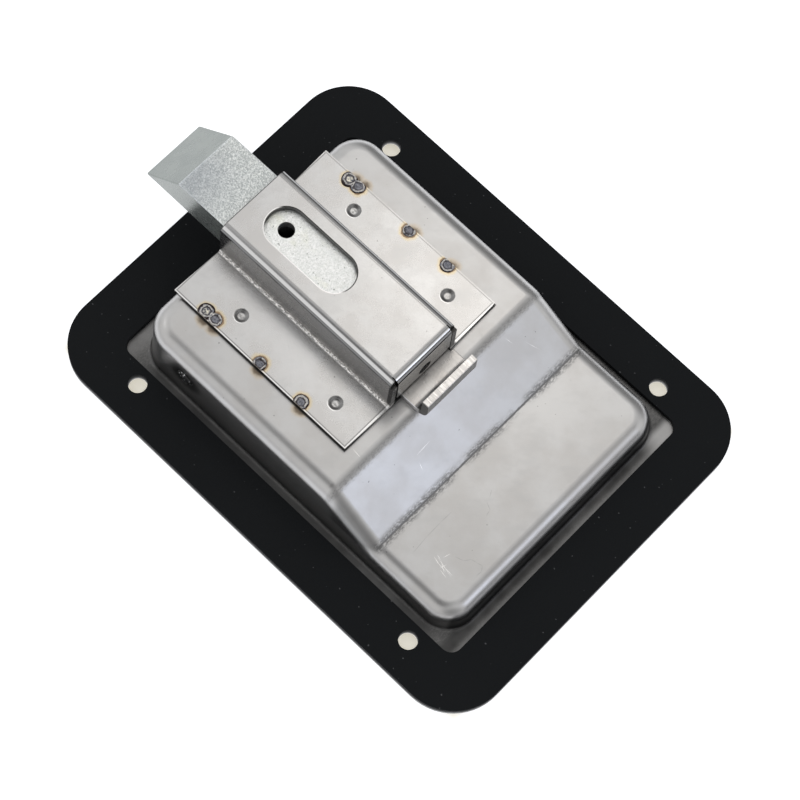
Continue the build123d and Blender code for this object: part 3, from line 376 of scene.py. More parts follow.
def bend_pan():
    """Rounds the upright corners, the two bends of the slope and the rim of the top."""
    slope = math.atan2(DEEP_TOP_Z - SHALLOW_TOP_Z, SLOPE_TOP_X - SLOPE_FOOT_X)
    pick("EDGE", lambda m, e: along(e, 2) > 5 and along(e, 0) < 1)
    bevel_picked(PAN_CORNER, 10)
    pick("EDGE", lambda m, e: abs(m.x - SLOPE_TOP_X) < NEAR and along(e, 1) > 20)
    bevel_picked(SLOPE_TOP_RADIUS * math.tan(slope / 2), 6)
    pick("EDGE", lambda m, e: abs(m.x - SLOPE_FOOT_X) < NEAR and along(e, 1) > 20)
    bevel_picked(SLOPE_FOOT_RADIUS * math.tan(slope / 2), 3)
    found = pick("EDGE", lambda m, e: is_fold(e))
    bevel_picked(PAN_TOP_ROUND * RIM_SETBACK, 8)
    print("rim edges", found)


dish = shape_pan()
lean_walls()
bend_pan()
leave()
report(dish)

# %% [markdown]
# The flange is flat, so it needs no bend of its own. A plane with round corners gives its
# outline. Its face is deleted, and the loop that is left is bridged to the pan's open foot.

# %% Flange
FLANGE_HALF = (DISH_HIGH.x, DISH_HIGH.y)
FLANGE_CORNER = 14.3
PAN_ROOT_ROUND = 1.2


def round_outline(name, x, y, z, radius, segments=14):
    """A plane whose corners are rounded in edit mode."""
    sheet = edit(add_plane(name, x, y, z))
    pick("VERT", lambda m, v: True)
    bevel_picked(radius, segments, affect="VERTICES")
    leave()
    return sheet


def add_flange(pan):
    """Joins the flat rim to the pan and rounds the fold between them."""
    half_x, half_y = FLANGE_HALF
    outline = (-half_x, half_x), (-half_y, half_y)
    rim = edit(round_outline("rim", *outline, FLANGE_REAR_Z, FLANGE_CORNER))
    pick("FACE", lambda m, f: True)
    bpy.ops.mesh.delete(type="ONLY_FACE")
    leave()
    edit(merge(pan, rim))
    pick("EDGE", lambda m, e: abs(m.z - FLANGE_REAR_Z) < NEAR and len(e.link_faces) < 2)
    bpy.ops.mesh.bridge_edge_loops()
    pick("EDGE", lambda m, e: abs(m.z - FLANGE_REAR_Z) < NEAR and is_fold(e))
    bevel_picked(PAN_ROOT_ROUND, 4)
    leave()
    return face_upwards(pan)


thicken(add_flange(dish), SHEET)
report(dish)

# %% [markdown]
# Four screws hold the flange, the hinge pin passes through the pan's long walls, and the lever
# arm reaches up to the bolt through a window in the ceiling. All of these are cut last, when
# the sheet has its thickness, as they would be punched on the real part.

# %% Holes in the dish
HOLE_SPACING = (92.0, 90.0)
MOUNT_HOLE_RADIUS = 2.4
PIN_HOLE_RADIUS = 2.55
ARM_SLOT_X = (29.9, 43.1)
ARM_SLOT_HALF_WIDTH = 8.15


def drill_mounting_holes(obj, low, high):
    for x in (-1, 1):
        for y in (-1, 1):
            place = (x * HOLE_SPACING[0] / 2, y * HOLE_SPACING[1] / 2)
            drill(obj, (*place, low), (*place, high), MOUNT_HOLE_RADIUS)


drill_mounting_holes(dish, DISH_LOW.z - 1, 1)
reach = PAN_HALF_WIDTH + 2
drill(dish, (PIN_X, -reach, PIN_Z), (PIN_X, reach, PIN_Z), PIN_HOLE_RADIUS, axis="Y")
mill(dish, (ARM_SLOT_X[0], -ARM_SLOT_HALF_WIDTH, DEEP_TOP_Z - 3),
     (ARM_SLOT_X[1], ARM_SLOT_HALF_WIDTH, DEEP_TOP_Z + 1))
break_edges(dish, 0.12, 2, 60)
smooth(dish)
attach(dish, "dish")
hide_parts("dish_plate")
report(dish)

# %% [markdown]
# The gasket is die-cut rubber: flat faces, square edges. A rounded plane gets its thickness,
# and a second rounded block cuts the window that clears the pan.

# %% Gasket
GASKET_WINDOW_X = (-56.4, 55.9)
GASKET_WINDOW_HALF = 40.8
GASKET_WINDOW_CORNER = 3.0


def cut_gasket():
    """The rubber sheet with its window and four holes."""
    half_x, half_y = FLANGE_HALF
    outline = (-half_x, half_x), (-half_y, half_y)
    sheet = round_outline("gasket_sheet", *outline, 0.0, FLANGE_CORNER, 18)
    thicken(sheet, -GASKET_LOW.z)
    opening = GASKET_WINDOW_X, (-GASKET_WINDOW_HALF, GASKET_WINDOW_HALF)
    window = round_outline("window", *opening, 1.0, GASKET_WINDOW_CORNER, 8)
    thicken(window, 4.0)
    cut(sheet, window)
    drill_mounting_holes(sheet, GASKET_LOW.z - 1, 1)
    break_edges(sheet, 0.1, 2, 60)
    return smooth(sheet)


gasket = cut_gasket()
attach(gasket, "dish")
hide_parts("gasket")
report(gasket)

# %% [markdown]
# The housing is a hat section, folded from one blank. It starts as the plane of its top. The
# long edges are extruded down for the sides and out for the wings, and then each fold line is
# beveled to its bend radius. The side towards +Y leans in a little at its top, as the photo
# shows it: the fold sprang back.

# %% Housing
HOUSING_BEND = 2.0
WALL_LEAN = 0.5
WING_CREASE = 0.9
TOP_Z = HOUSING_HIGH.z
FOLD_LEVELS = ((TOP_Z, HOUSING_BEND, (-CHANNEL_HALF_WIDTH, CHANNEL_HALF_WIDTH - WALL_LEAN)),
               (WING_TOP_Z, WING_CREASE, (-CHANNEL_HALF_WIDTH, CHANNEL_HALF_WIDTH)))


def fold_hat():
    """Top, side walls and wings, as one bent sheet."""
    wide = CHANNEL_HALF_WIDTH
    top_edges = FOLD_LEVELS[0][2]
    hat = edit(add_plane("housing", (HOUSING_LOW.x, CHANNEL_FRONT_X), top_edges, TOP_Z))
    for side, top_y in zip((-1, 1), top_edges):
        pick("EDGE", lambda m, e: abs(m.y - top_y) < NEAR and m.z > TOP_Z - NEAR)
        extrude_edges(y=side * wide - top_y, z=WING_TOP_Z - TOP_Z)
        extrude_edges(y=side * (WING_HALF_WIDTH - wide))
    for old_x, new_x in ((HOUSING_LOW.x, WING_X[0]), (CHANNEL_FRONT_X, WING_X[1])):
        pick("VERT", lambda m, v: abs(m.x - old_x) < NEAR and abs(m.y) > wide + 1)
        move(x=new_x - old_x)
    for level, bend, lines in FOLD_LEVELS:
        pick("EDGE", lambda m, e: min(abs(m.y - y) for y in lines) < NEAR
             and abs(m.z - level) < NEAR and along(e, 0) > 1)
        bevel_picked(bend, 8)
    leave()
    return thicken(face_upwards(hat), SHEET)


housing = fold_hat()
report(housing)

# %% [markdown]
# The rear end is closed by a flap, which is narrower than the channel, so that it could be bent
# down between the walls. The walls are notched for it first. It is a plane of its own with one
# edge drawn down and its fold beveled, and then both sheets are joined.

# %% End flap
FLAP_HALF_WIDTH = 9.35
FLAP_RELIEF = 9.65
FLAP_FOOT_Z = 21.0
WALL_END_TOP_Z = 29.6
FOLD_X = HOUSING_LOW.x + HOUSING_BEND
NOTCH_X = HOUSING_LOW.x + 0.9


def notch_walls(hat):
    """Makes room for the flap at the rear end of the hat."""
    rear_x, wide = HOUSING_LOW.x - 1, CHANNEL_HALF_WIDTH + 1
    mill(hat, (rear_x, -wide, WALL_END_TOP_Z), (NOTCH_X, wide, TOP_Z + 1))
    mill(hat, (rear_x, -FLAP_RELIEF, WING_TOP_Z - SHEET - 1),
         (FOLD_X, FLAP_RELIEF - WALL_LEAN, TOP_Z + 1))


def fold_flap():
    """The end flap and its bend."""
    sides = (-FLAP_HALF_WIDTH, FLAP_HALF_WIDTH - WALL_LEAN)
    flap = edit(add_plane("flap", (HOUSING_LOW.x, FOLD_X + 1), sides, TOP_Z))
    pick("EDGE", lambda m, e: abs(m.x - HOUSING_LOW.x) < NEAR)
    extrude_edges(z=FLAP_FOOT_Z - TOP_Z)
    pick("EDGE", lambda m, e: abs(m.x - HOUSING_LOW.x) < NEAR and m.z > TOP_Z - NEAR)
    bevel_picked(HOUSING_BEND, 8)
    leave()
    return thicken(face_upwards(flap), SHEET)


notch_walls(housing)
flap_sheet = fold_flap()
apply(housing, "BOOLEAN", operation="UNION", solver="EXACT", object=flap_sheet)
bpy.data.objects.remove(flap_sheet)
report(housing)

# %% [markdown]
# A long slot in the top shows the bolt's tapped hole, and the spring's rod slides through a
# round hole in the flap. The four dimples beside the channel are the backs of small pressed
# cones, which held the wings for welding. Each is a tapered punch with a rounded tip, cut away.

# %% Slot, rod hole and dimples
SLOT_X = (23.85, 40.0)
SLOT_HALF_WIDTH = 5.35
SLOT_Y = -0.5
ROD_HOLE_RADIUS = 2.0
DIMPLE_XS = (3.7, 35.3)
DIMPLE_Y = 19.4
DIMPLE_DEPTH = 0.55
DIMPLE_RADIUS = 1.9
DIMPLE_TAPER = 0.56
DIMPLE_ROUND = 0.35


def punch_slot(obj):
    """A long hole: a block whose ends are round."""
    half = SLOT_HALF_WIDTH
    punch = edit(add_block("slot", (SLOT_X[0] - half, SLOT_Y - half, TOP_Z - 3),
                           (SLOT_X[1] + half, SLOT_Y + half, TOP_Z + 1)))
    pick("EDGE", lambda m, e: along(e, 2) > 1)
    bevel_picked(half - NEAR / 10, 16)
    leave()
    cut(obj, punch)


def press_dimple(obj, x, y):
    """Pushes a flat-bottomed cone into the sheet."""
    foot_z = WING_TOP_Z - DIMPLE_DEPTH
    punch = edit(add_rod("punch", (x, y, foot_z), (x, y, WING_TOP_Z), DIMPLE_RADIUS, 40))
    pick("FACE", lambda m, f: m.z < foot_z + NEAR)
    bpy.ops.transform.resize(value=(DIMPLE_TAPER, DIMPLE_TAPER, 1))
    pick("FACE", lambda m, f: m.z > WING_TOP_Z - NEAR)
    bpy.ops.mesh.extrude_region_move(TRANSFORM_OT_translate={"value": (0, 0, 1.0 * MM)})
    pick("EDGE", lambda m, e: m.z < foot_z + NEAR)
    bevel_picked(DIMPLE_ROUND, 4)
    leave()
    cut(obj, punch)


punch_slot(housing)
drill(housing, (HOUSING_LOW.x - 1, AXIS_Y, ROD_Z), (HOUSING_LOW.x + 3, AXIS_Y, ROD_Z),
      ROD_HOLE_RADIUS, axis="X")
for dimple_x in DIMPLE_XS:
    for dimple_side in (-1, 1):
        press_dimple(housing, dimple_x, dimple_side * DIMPLE_Y)
break_edges(housing, 0.16, 3, 55)
smooth(housing)
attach(housing, "dish")
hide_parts("bolt_housing")
report(housing)

# %% [markdown]
# Each tack weld is a small puddle that froze with a raised rim and a sunken middle. A disc is
# inset and moved up and down ring by ring, roughened, and subdivided. The eight puddles are
# turned and stretched differently, because no two are alike. They end at the wing's edge, and
# where two lie side by side they sit further in.

# %% Weld nuggets
WELD_PLACES = ((41.8, -1), (38.9, -1), (22.0, -1), (9.1, -1),
               (42.0, 1), (38.9, 1), (23.5, 1), (9.7, 1))
WELD_CRATERS = ((41.8, -1), (42.0, 1))
PAIR_FROM_X = 38.0
WELD_RADIUS = 1.95
PAIR_INSET = 1.5
SINGLE_INSET = 1.05
WELD_ROUGH = 0.13
CRATER_GROWTH = 1.12
STRETCH = 0.09


def weld_centre(x, side):
    """The middle of a nugget, which lies on one side's wing."""
    inset = PAIR_INSET if x > PAIR_FROM_X else SINGLE_INSET
    return x, side * (WING_HALF_WIDTH - inset), WING_TOP_Z


WELD_CENTRES = [weld_centre(*weld) for weld in WELD_PLACES]
# How far each ring lies inside the one before it, and how far it is moved up.
WELD_RINGS = ((0.2, 0.22), (0.3, 0.1), (0.35, -0.06), (0.35, -0.14), (0.25, 0.06))


def puddle():
    """One nugget at the origin, its skirt reaching down into the wing."""
    deselect()
    bpy.ops.mesh.primitive_circle_add(vertices=20, radius=WELD_RADIUS * MM, fill_type="NGON")
    obj = edit(settle("nugget"))
    for inset, rise in WELD_RINGS:
        pick("FACE", lambda m, f: len(f.verts) > 4)
        bpy.ops.mesh.inset(thickness=inset * MM)
        move(z=rise)
    pick("EDGE", lambda m, e: len(e.link_faces) == 1)
    extrude_edges(z=-SHEET)
    bpy.ops.mesh.edge_face_add()
    leave()
    return obj


def frozen(nugget, number):
    """A copy with its own mesh, roughened, turned and stretched in its own way."""
    obj = nugget.copy()
    obj.data = nugget.data.copy()
    bpy.context.scene.collection.objects.link(obj)
    edit(obj)
    bpy.ops.mesh.select_all(action="SELECT")
    bpy.ops.transform.vertex_random(offset=WELD_ROUGH * MM, seed=number + 1)
    leave()
    grown = CRATER_GROWTH if WELD_PLACES[number] in WELD_CRATERS else 1.0
    obj.rotation_euler = (0, 0, number * 0.9)
    obj.scale = (grown + STRETCH * math.sin(number * 2.1),
                 grown + STRETCH * math.cos(number * 1.7), 1)
    obj.location = Vector(WELD_CENTRES[number]) * MM
    take(obj)
    bpy.ops.object.transform_apply(location=True, rotation=True, scale=True)
    return apply(obj, "SUBSURF", levels=2, render_levels=2)


def weld_all():
    """The eight nuggets as one piece, cut off at the wings' edges."""
    first = puddle()
    nuggets = [frozen(first, number) for number in range(len(WELD_PLACES))]
    bpy.data.objects.remove(first)
    joined = merge(*nuggets)
    joined.name = "weld_nuggets"
    for side in (-1, 1):
        near, far = sorted((side * (WING_HALF_WIDTH - NEAR), side * (WING_HALF_WIDTH + 5)))
        mill(joined, (WING_X[0], near, 0), (WING_X[1], far, TOP_Z))
    return face_upwards(joined)


welds = smooth(weld_all(), 60)
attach(welds, "dish")
report(welds)

# %% [markdown]
# The slam bolt is a machined bar. A cube is bisected to its bevel, its edges are broken, and
# the bores and pockets are drilled as on a milling machine: one cutter after another.

# %% Slam bolt
BEVEL_TOP_X = 66.4
BAR_EDGE = 0.35
THREAD_X = 40.0
THREAD_RADIUS = 2.1
THREAD_DEPTH = 9.0
ROD_BORE_END_X = 28.0
ROD_BORE_RADIUS = 3.1
POCKET_X = (40.3, 45.7)
POCKET_Y = 5.75
POCKET_HALF_WIDTH = 2.3
POCKET_TOP_Z = 27.7
TAB_RECESS_Z = BOLT_LOW.z + 2.0


def saw_bar():
    """The bar, sawn to its bevel and with its edges broken."""
    bar = edit(add_block("bolt_bar", BOLT_LOW, BOLT_HIGH))
    run = Vector((BEVEL_TOP_X - BOLT_HIGH.x, 0, BOLT_HIGH.z - BOLT_LOW.z))
    normal = Vector((run.z, 0, -run.x)).normalized()
    bpy.ops.mesh.select_all(action="SELECT")
    bpy.ops.mesh.bisect(plane_co=(BOLT_HIGH.x * MM, 0, BOLT_LOW.z * MM), plane_no=normal,
                        use_fill=True, clear_outer=True)
    pick("EDGE", lambda m, e: True)
    bevel_picked(BAR_EDGE, 3)
    leave()
    return bar


def mill_bolt():
    """The bar with a recess for the tab, the rod's bore, the tapped hole and two pockets."""
    bar = saw_bar()
    rear_x, under_z, over_z = BOLT_LOW.x - 1, BOLT_LOW.z - 1, BOLT_HIGH.z + 1
    mill(bar, (rear_x, TAB_LOW.y + 0.7, under_z),
         (TAB_HIGH.x + NEAR, TAB_HIGH.y + 0.2, TAB_RECESS_Z))
    drill(bar, (rear_x, AXIS_Y, ROD_Z), (ROD_BORE_END_X, AXIS_Y, ROD_Z), ROD_BORE_RADIUS, axis="X")
    thread_foot = (THREAD_X, AXIS_Y, BOLT_HIGH.z - THREAD_DEPTH)
    drill(bar, thread_foot, (THREAD_X, AXIS_Y, over_z), THREAD_RADIUS)
    for y in (-POCKET_Y, POCKET_Y):
        mill(bar, (POCKET_X[0], y - POCKET_HALF_WIDTH, under_z),
             (POCKET_X[1], y + POCKET_HALF_WIDTH, POCKET_TOP_Z))
    break_edges(bar, 0.12, 2, 50)
    return smooth(bar)


bolt = mill_bolt()
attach(bolt, "bolt")
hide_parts("slam_bolt")
report(bolt)

# %% [markdown]
# The release tab is a strip of 2 mm plate under the bolt, with its rear end bent up as a lip.
# It is the underside's plane, extruded up once. The bend is a bevel of that one edge.

# %% Release tab
TAB_PLATE = 2.0
TAB_OUTER_BEND = 4.2
TAB_SHOULDER_X = -6.8
TAB_NARROW_Y = -9.2


def bend_tab():
    """The strip with its lip, narrowed in front of the shoulder."""
    long_way, wide_way = (TAB_LOW.x, TAB_HIGH.x), (TAB_LOW.y, TAB_HIGH.y)
    strip = edit(add_plane("tab_strip", long_way, wide_way, TAB_LOW.z))
    pick("EDGE", lambda m, e: m.x < TAB_LOW.x + NEAR)
    extrude_edges(z=TAB_HIGH.z - TAB_LOW.z)
    pick("EDGE", lambda m, e: m.x < TAB_LOW.x + NEAR and m.z < TAB_LOW.z + NEAR
         and along(e, 1) > 5)
    bevel_picked(TAB_OUTER_BEND, 10)
    leave()
    face_upwards(strip)
    thicken(strip, TAB_PLATE, offset=1.0)
    mill(strip, (TAB_SHOULDER_X, TAB_LOW.y - 1, TAB_LOW.z - 1),
         (TAB_HIGH.x + 1, TAB_NARROW_Y, TAB_LOW.z + 4))
    break_edges(strip, 0.2, 3, 50)
    return smooth(strip)


tab = bend_tab()
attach(tab, "bolt")
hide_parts("release_tab")
report(tab)

# %% [markdown]
# The return spring is a helix of round wire. The Screw modifier winds a small circle about an
# axis, which makes a true coil in one step. It shortens as the bolt is drawn back.

# %% Bolt spring
COIL_WIRE = 0.8
COIL_RADIUS = 2.4
COIL_TURNS = 13
WIRE_SIDES = 12
STEPS_PER_TURN = 28


def wind(name, wire, radius, turns, pitch, axis, place):
    """Open-ended coil: a circle of wire beside its axis, screwed about it."""
    deselect()
    spot, turn = {"X": ((0, 0, radius * MM), (math.pi / 2, 0, 0)),
                  "Y": ((radius * MM, 0, 0), (0, 0, 0))}[axis]
    bpy.ops.mesh.primitive_circle_add(
        vertices=WIRE_SIDES, radius=wire / 2 * MM, location=spot, rotation=turn)
    coil = settle(name)
    steps = STEPS_PER_TURN * abs(turns)
    apply(coil, "SCREW", axis=axis, angle=2 * math.pi * turns, screw_offset=pitch * abs(turns) * MM,
          steps=steps, render_steps=steps, use_smooth_shade=True)
    coil.location = Vector(place) * MM
    take(coil)
    bpy.ops.object.transform_apply(location=True, rotation=True, scale=True)
    return coil


def close_wire(coil):
    """Caps the wire's two ends."""
    edit(coil)
    pick("EDGE", lambda m, e: len(e.link_faces) == 1)
    bpy.ops.mesh.edge_face_add()
    bpy.ops.mesh.select_all(action="SELECT")
    bpy.ops.mesh.normals_make_consistent(inside=False)
    leave()
    return smooth(coil, 50)


coil_pitch = (COIL_HIGH.x - COIL_LOW.x - COIL_WIRE) / COIL_TURNS
coil_place = (COIL_LOW.x + COIL_WIRE / 2, AXIS_Y, ROD_Z)
bolt_coil = close_wire(
    wind("bolt_coil", COIL_WIRE, COIL_RADIUS, COIL_TURNS, coil_pitch, "X", coil_place))
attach(bolt_coil, "dish")
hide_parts("bolt_spring")
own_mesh(bolt_coil)
report(bolt_coil)

# %% [markdown]
# The paddle's torsion spring is wound about the pin in the same way. Its two wire ends are
# then drawn out straight: one down to the paddle, one up to the pan's ceiling.

# %% Paddle spring
TORSION_WIRE = 1.2
TORSION_RADIUS = 4.2
TORSION_TURNS = 5
TORSION_PITCH = 1.75
TORSION_Y = 9.0
# Sideways drift of the wire per millimetre of its length, which the straight ends go on with.
LEG_LEAN = TORSION_PITCH / (2 * math.pi * TORSION_RADIUS)


def draw_leg(coil, y, rise):
    """Draws the open wire end near a given Y up or down."""
    pick("EDGE", lambda m, e: len(e.link_faces) == 1 and abs(m.y - y) < TORSION_WIRE)
    extrude_edges(y=rise * LEG_LEAN, z=rise)


def wind_paddle_spring():
    """The coil about the pin with its two straight ends."""
    coil = wind("paddle_coil", TORSION_WIRE, TORSION_RADIUS, -TORSION_TURNS, TORSION_PITCH, "Y",
                (PIN_X, TORSION_Y, PIN_Z))
    edit(coil)
    draw_leg(coil, TORSION_Y, TORSION_LOW.z - PIN_Z)
    draw_leg(coil, TORSION_Y + TORSION_TURNS * TORSION_PITCH, TORSION_HIGH.z - PIN_Z)
    leave()
    return close_wire(coil)


paddle_coil = wind_paddle_spring()
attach(paddle_coil, "dish")
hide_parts("paddle_spring")
report(paddle_coil)

# %% [markdown]
# A finish is a set of nodes. Their sums are easier to read as arithmetic, so one small class
# wraps an output and turns + - and * into Math nodes, and one method adds any other node. Coats
# of colour are laid over each other like real ones: each has a mask that says where it shows.

# %% Sums of signals


class Signal:
    """A node's output that takes part in plain arithmetic."""

    def __init__(self, nodes, socket):
        self.nodes = nodes
        self.socket = socket

    def math(self, operation, *others, clamp=False):
        values = dict(enumerate((self, *others)))
        settings = {"operation": operation, "use_clamp": clamp}
        return self.nodes.node("ShaderNodeMath", settings, values)

    def __add__(self, other):
        return self.math("ADD", other)

    __radd__ = __add__

    def __mul__(self, other):
        return self.math("MULTIPLY", other)

    __rmul__ = __mul__

    def __sub__(self, other):
        return self.math("SUBTRACT", other)

    def __rsub__(self, other):
        return self.nodes.node("ShaderNodeMath", {"operation": "SUBTRACT"}, {0: other, 1: self})

    def __abs__(self):
        return self.math("ABSOLUTE")

    def least(self, other):
        return self.math("MINIMUM", other)

    def most(self, other):
        return self.math("MAXIMUM", other)

    def rise(self, low, high):
        """0 below low, 1 above high, and smooth between, or the other way round."""
        settings = {"interpolation_type": "SMOOTHSTEP"}
        values = {"Value": self, "From Min": min(low, high), "From Max": max(low, high)}
        raised = self.nodes.node("ShaderNodeMapRange", settings, values)
        return 1 - raised if low > high else raised


class Nodes:
    """A node tree, and one way to add any node to it."""

    def __init__(self, tree):
        self.tree = tree

    def node(self, kind, settings, values, output=0):
        made = self.tree.nodes.new(kind)
        for key, value in settings.items():
            setattr(made, key, value)
        for key, value in values.items():
            if isinstance(value, Signal):
                self.tree.links.new(value.socket, made.inputs[key])
            else:
                made.inputs[key].default_value = value
        return Signal(self, made.outputs[output])

    def blend(self, factor, first, second):
        """The first colour where the factor is 0, the second where it is 1."""
        values = {0: factor, 6: first, 7: second}
        return self.node("ShaderNodeMix", {"data_type": "RGBA"}, values, 2)

    def coats(self, tint, *coats):
        """Lays coats, each a mask and a colour, over a tint one after another."""
        for mask, colour in coats:
            tint = self.blend(mask, tint, colour)
        return tint

    def vector(self, operation, values, output="Vector"):
        return self.node("ShaderNodeVectorMath", {"operation": operation}, values, output)


# %% [markdown]
# Every mask and pattern is worked out from a place on the piece in millimetres, so that a mark
# stays where it was put and keeps its size. These are the patterns that the finishes share.

# %% Paint box


class Paint(Nodes):
    """One material and the nodes that are added to it."""

    def __init__(self, name, **fixed):
        self.material = bpy.data.materials.new(name)
        self.material.use_nodes = True
        super().__init__(self.material.node_tree)
        self.surface = self.tree.nodes["Principled BSDF"]
        for socket, value in fixed.items():
            self.surface.inputs[socket.replace("_", " ")].default_value = value
        self.place = self.node("ShaderNodeTexCoord", {}, {}, "Object")

    def stretched(self, scale, turn=(0, 0, 0)):
        """Object coordinates, turned and then stretched on each axis."""
        turned = self.node("ShaderNodeMapping", {}, {"Vector": self.place, "Rotation": turn})
        return self.node("ShaderNodeMapping", {}, {"Vector": turned, "Scale": scale})

    def noise(self, size, detail=4.0, rough=0.55, place=None):
        """Cloudy values whose features are about the given size in millimetres."""
        return self.node("ShaderNodeTexNoise", {}, {
            "Vector": place or self.place, "Scale": 1000 / size, "Detail": detail,
            "Roughness": rough})

    def split(self):
        """X, Y and Z in millimetres."""
        parts = self.tree.nodes.new("ShaderNodeSeparateXYZ")
        self.tree.links.new(self.place.socket, parts.inputs[0])
        return [Signal(self, out) * 1000 for out in parts.outputs]

    def gap(self, point):
        """Distance to a point in millimetres."""
        return self.vector("DISTANCE", {0: self.place, 1: Vector(point) * MM}, "Value") * 1000

    def nearest(self, points):
        """Distance to the nearest of some points in millimetres."""
        distance = self.gap(points[0])
        for point in points[1:]:
            distance = distance.least(self.gap(point))
        return distance

    def stroke(self, start, end, width):
        """1 on a thin straight line between two points, 0 away from it."""
        start, end = Vector(start) * MM, Vector(end) * MM
        run = end - start
        away = self.vector("SUBTRACT", {0: self.place, 1: start})
        share = self.vector("DOT_PRODUCT", {0: away, 1: run / run.length_squared}, "Value")
        share = share.math("ADD", 0.0, clamp=True)
        foot = self.vector("SCALE", {0: run, "Scale": share})
        distance = self.vector("DISTANCE", {0: away, 1: foot}, "Value") * 1000
        taper = (1 - abs(share - 0.5) * 1.4) * width
        return (taper - distance).rise(-0.02, 0.03)

    def strokes(self, lines, width):
        """All the lines of a list in one mask."""
        mask = self.stroke(*lines[0], width)
        for line in lines[1:]:
            mask = mask.most(self.stroke(*line, width))
        return mask

    def hairlines(self, size, width, turn, share=0.36):
        """Fine scratches that run nearly straight, over a share of the face."""
        lines = self.stretched((1, 0.04, 1), (0, 0, turn))
        thin = abs(self.noise(size, 2.0, 0.6, lines) - 0.5).rise(width, width * 0.3)
        return thin * self.noise(size * 1.7, 1.0).rise(1.02 - share, 1.1 - share)

    def bump(self, height, depth):
        """Relief of a depth in millimetres for the surface's normal."""
        return self.node("ShaderNodeBump", {}, {"Height": height, "Distance": depth * MM})

    def use(self, socket, value):
        """Feeds a value into the surface."""
        self.tree.links.new(value.socket, self.surface.inputs[socket])

    def finish(self, tint, roughness, relief, depth):
        """Feeds colour, roughness and a relief of a depth in millimetres into the surface."""
        self.use("Base Color", tint)
        self.use("Roughness", roughness)
        self.use("Normal", self.bump(relief, depth))
        return self

    def on(self, *objects):
        """Puts the material on pieces in place of what they had."""
        for obj in objects:
            obj.data.materials.clear()
            obj.data.materials.append(self.material)
        names = ", ".join(obj.name for obj in objects)
        print(self.material.name, "with", len(self.tree.nodes), "nodes on", names)


def grey(level, warmth=0.0):
    """A grey that leans to yellow for warmth above 0 and to blue below."""
    return (level * (1 + warmth), level, level * (1 - warmth), 1.0)


# %% [markdown]
# Cold-rolled stainless sheet is satin: a soft reflection, broken by fine grain, by the waves
# that pressing leaves, and by handling marks. The colour hardly varies. What the eye reads is
# roughness and relief, so that is where most of the pattern goes.

# %% Satin stainless sheet


def rolled_sheet(name, level, rough, grain_depth):
    """The parts that both stainless pieces share."""
    paint = Paint(name, Metallic=1.0)
    grain = paint.noise(0.3, 5.0, 0.7)
    cloud = paint.noise(11.0, 4.0, 0.6)
    smear = paint.noise(5.0, 3.0, 0.6, paint.stretched((1, 0.5, 1), (0, 0, 0.8)))
    specks = paint.noise(0.9, 1.0, 0.4).rise(0.795, 0.82)
    fine = paint.hairlines(1.6, 0.008, 0.5).most(paint.hairlines(1.9, 0.007, -0.9))
    tint = paint.coats(
        grey(level * 1.03, 0.008),
        (cloud.rise(0.35, 0.65), grey(level * 0.95, 0.022)),
        (smear.rise(0.5, 0.72) * 0.5, grey(level * 0.9, 0.01)),
        (specks * 0.7, grey(level * 0.3, 0.02)))
    roughness = rough + (grain - 0.5) * grain_depth * 3 + (cloud - 0.5) * 0.08 + fine * 0.04
    relief = (grain - 0.5) * grain_depth + smear * 0.1 - fine * 0.008
    return paint, tint, roughness, relief


# %% [markdown]
# The dish has been handled. A few bright scratches cross the shallow end and the slope, some
# dark lines wander over the shallow end, and each tack weld has scorched the ceiling beside it.
# Each mark is a short straight line or a point, placed where the real one lies.

# %% Places of the dish's marks
LOW_SCRATCHES = (
    (-38.3, 27.1, -43.5, 28.3), (-38.6, 28.0, -41.9, 28.3), (-39.2, 27.1, -41.9, 28.8),
    (-39.1, 26.1, -39.6, 24.4), (-40.3, 28.6, -40.8, 26.9), (-37.6, 26.7, -39.0, 27.0),
    (-41.4, 27.7, -43.6, 27.9), (-37.4, 27.6, -39.6, 28.1), (-40.6, 28.9, -42.9, 29.3))
LOW_DARK_LINES = (
    (-41.0, 24.0, -43.0, 23.4), (-43.0, 23.4, -44.2, 21.8), (-44.2, 21.8, -45.6, 21.5),
    (-45.6, 21.5, -47.1, 21.1), (-47.1, 21.1, -47.9, 22.3), (-47.9, 22.3, -47.8, 24.0),
    (-32.7, 16.6, -32.6, 20.2), (-32.6, 20.2, -32.7, 25.2), (-32.7, 25.2, -33.1, 30.2),
    (-35.7, 5.6, -36.6, 7.3), (-37.1, 8.8, -38.9, 9.7), (-38.9, 9.7, -39.3, 11.4))
HIGH_SCRATCHES = (
    ((-17.9, 13.5, 12.9), (-17.7, 8.8, 13.0)), ((-19.3, 14.2, 12.0), (-21.3, 14.8, 10.7)),
    ((-6.9, 24.4, 17.5), (-9.8, 24.7, 17.5)), ((-13.0, -22.1, 16.1), (-15.3, -22.9, 14.6)),
    ((-16.6, -25.6, 13.7), (-20.9, -27.8, 10.9)))


def on_low_top(lines):
    """Lines given by x and y alone, laid on the shallow end's top."""
    return [((x, y, SHALLOW_TOP_Z), (end_x, end_y, SHALLOW_TOP_Z)) for x, y, end_x, end_y in lines]


DISH_SCRATCHES = on_low_top(LOW_SCRATCHES) + list(HIGH_SCRATCHES)
DISH_DARK_LINES = on_low_top(LOW_DARK_LINES)
SCORCHES = [(x - 0.7, side * (WING_HALF_WIDTH - 0.2), DEEP_TOP_Z) for x, side in WELD_PLACES]
print(len(DISH_SCRATCHES), "scratches,", len(DISH_DARK_LINES), "dark lines and",
      len(SCORCHES), "scorches")
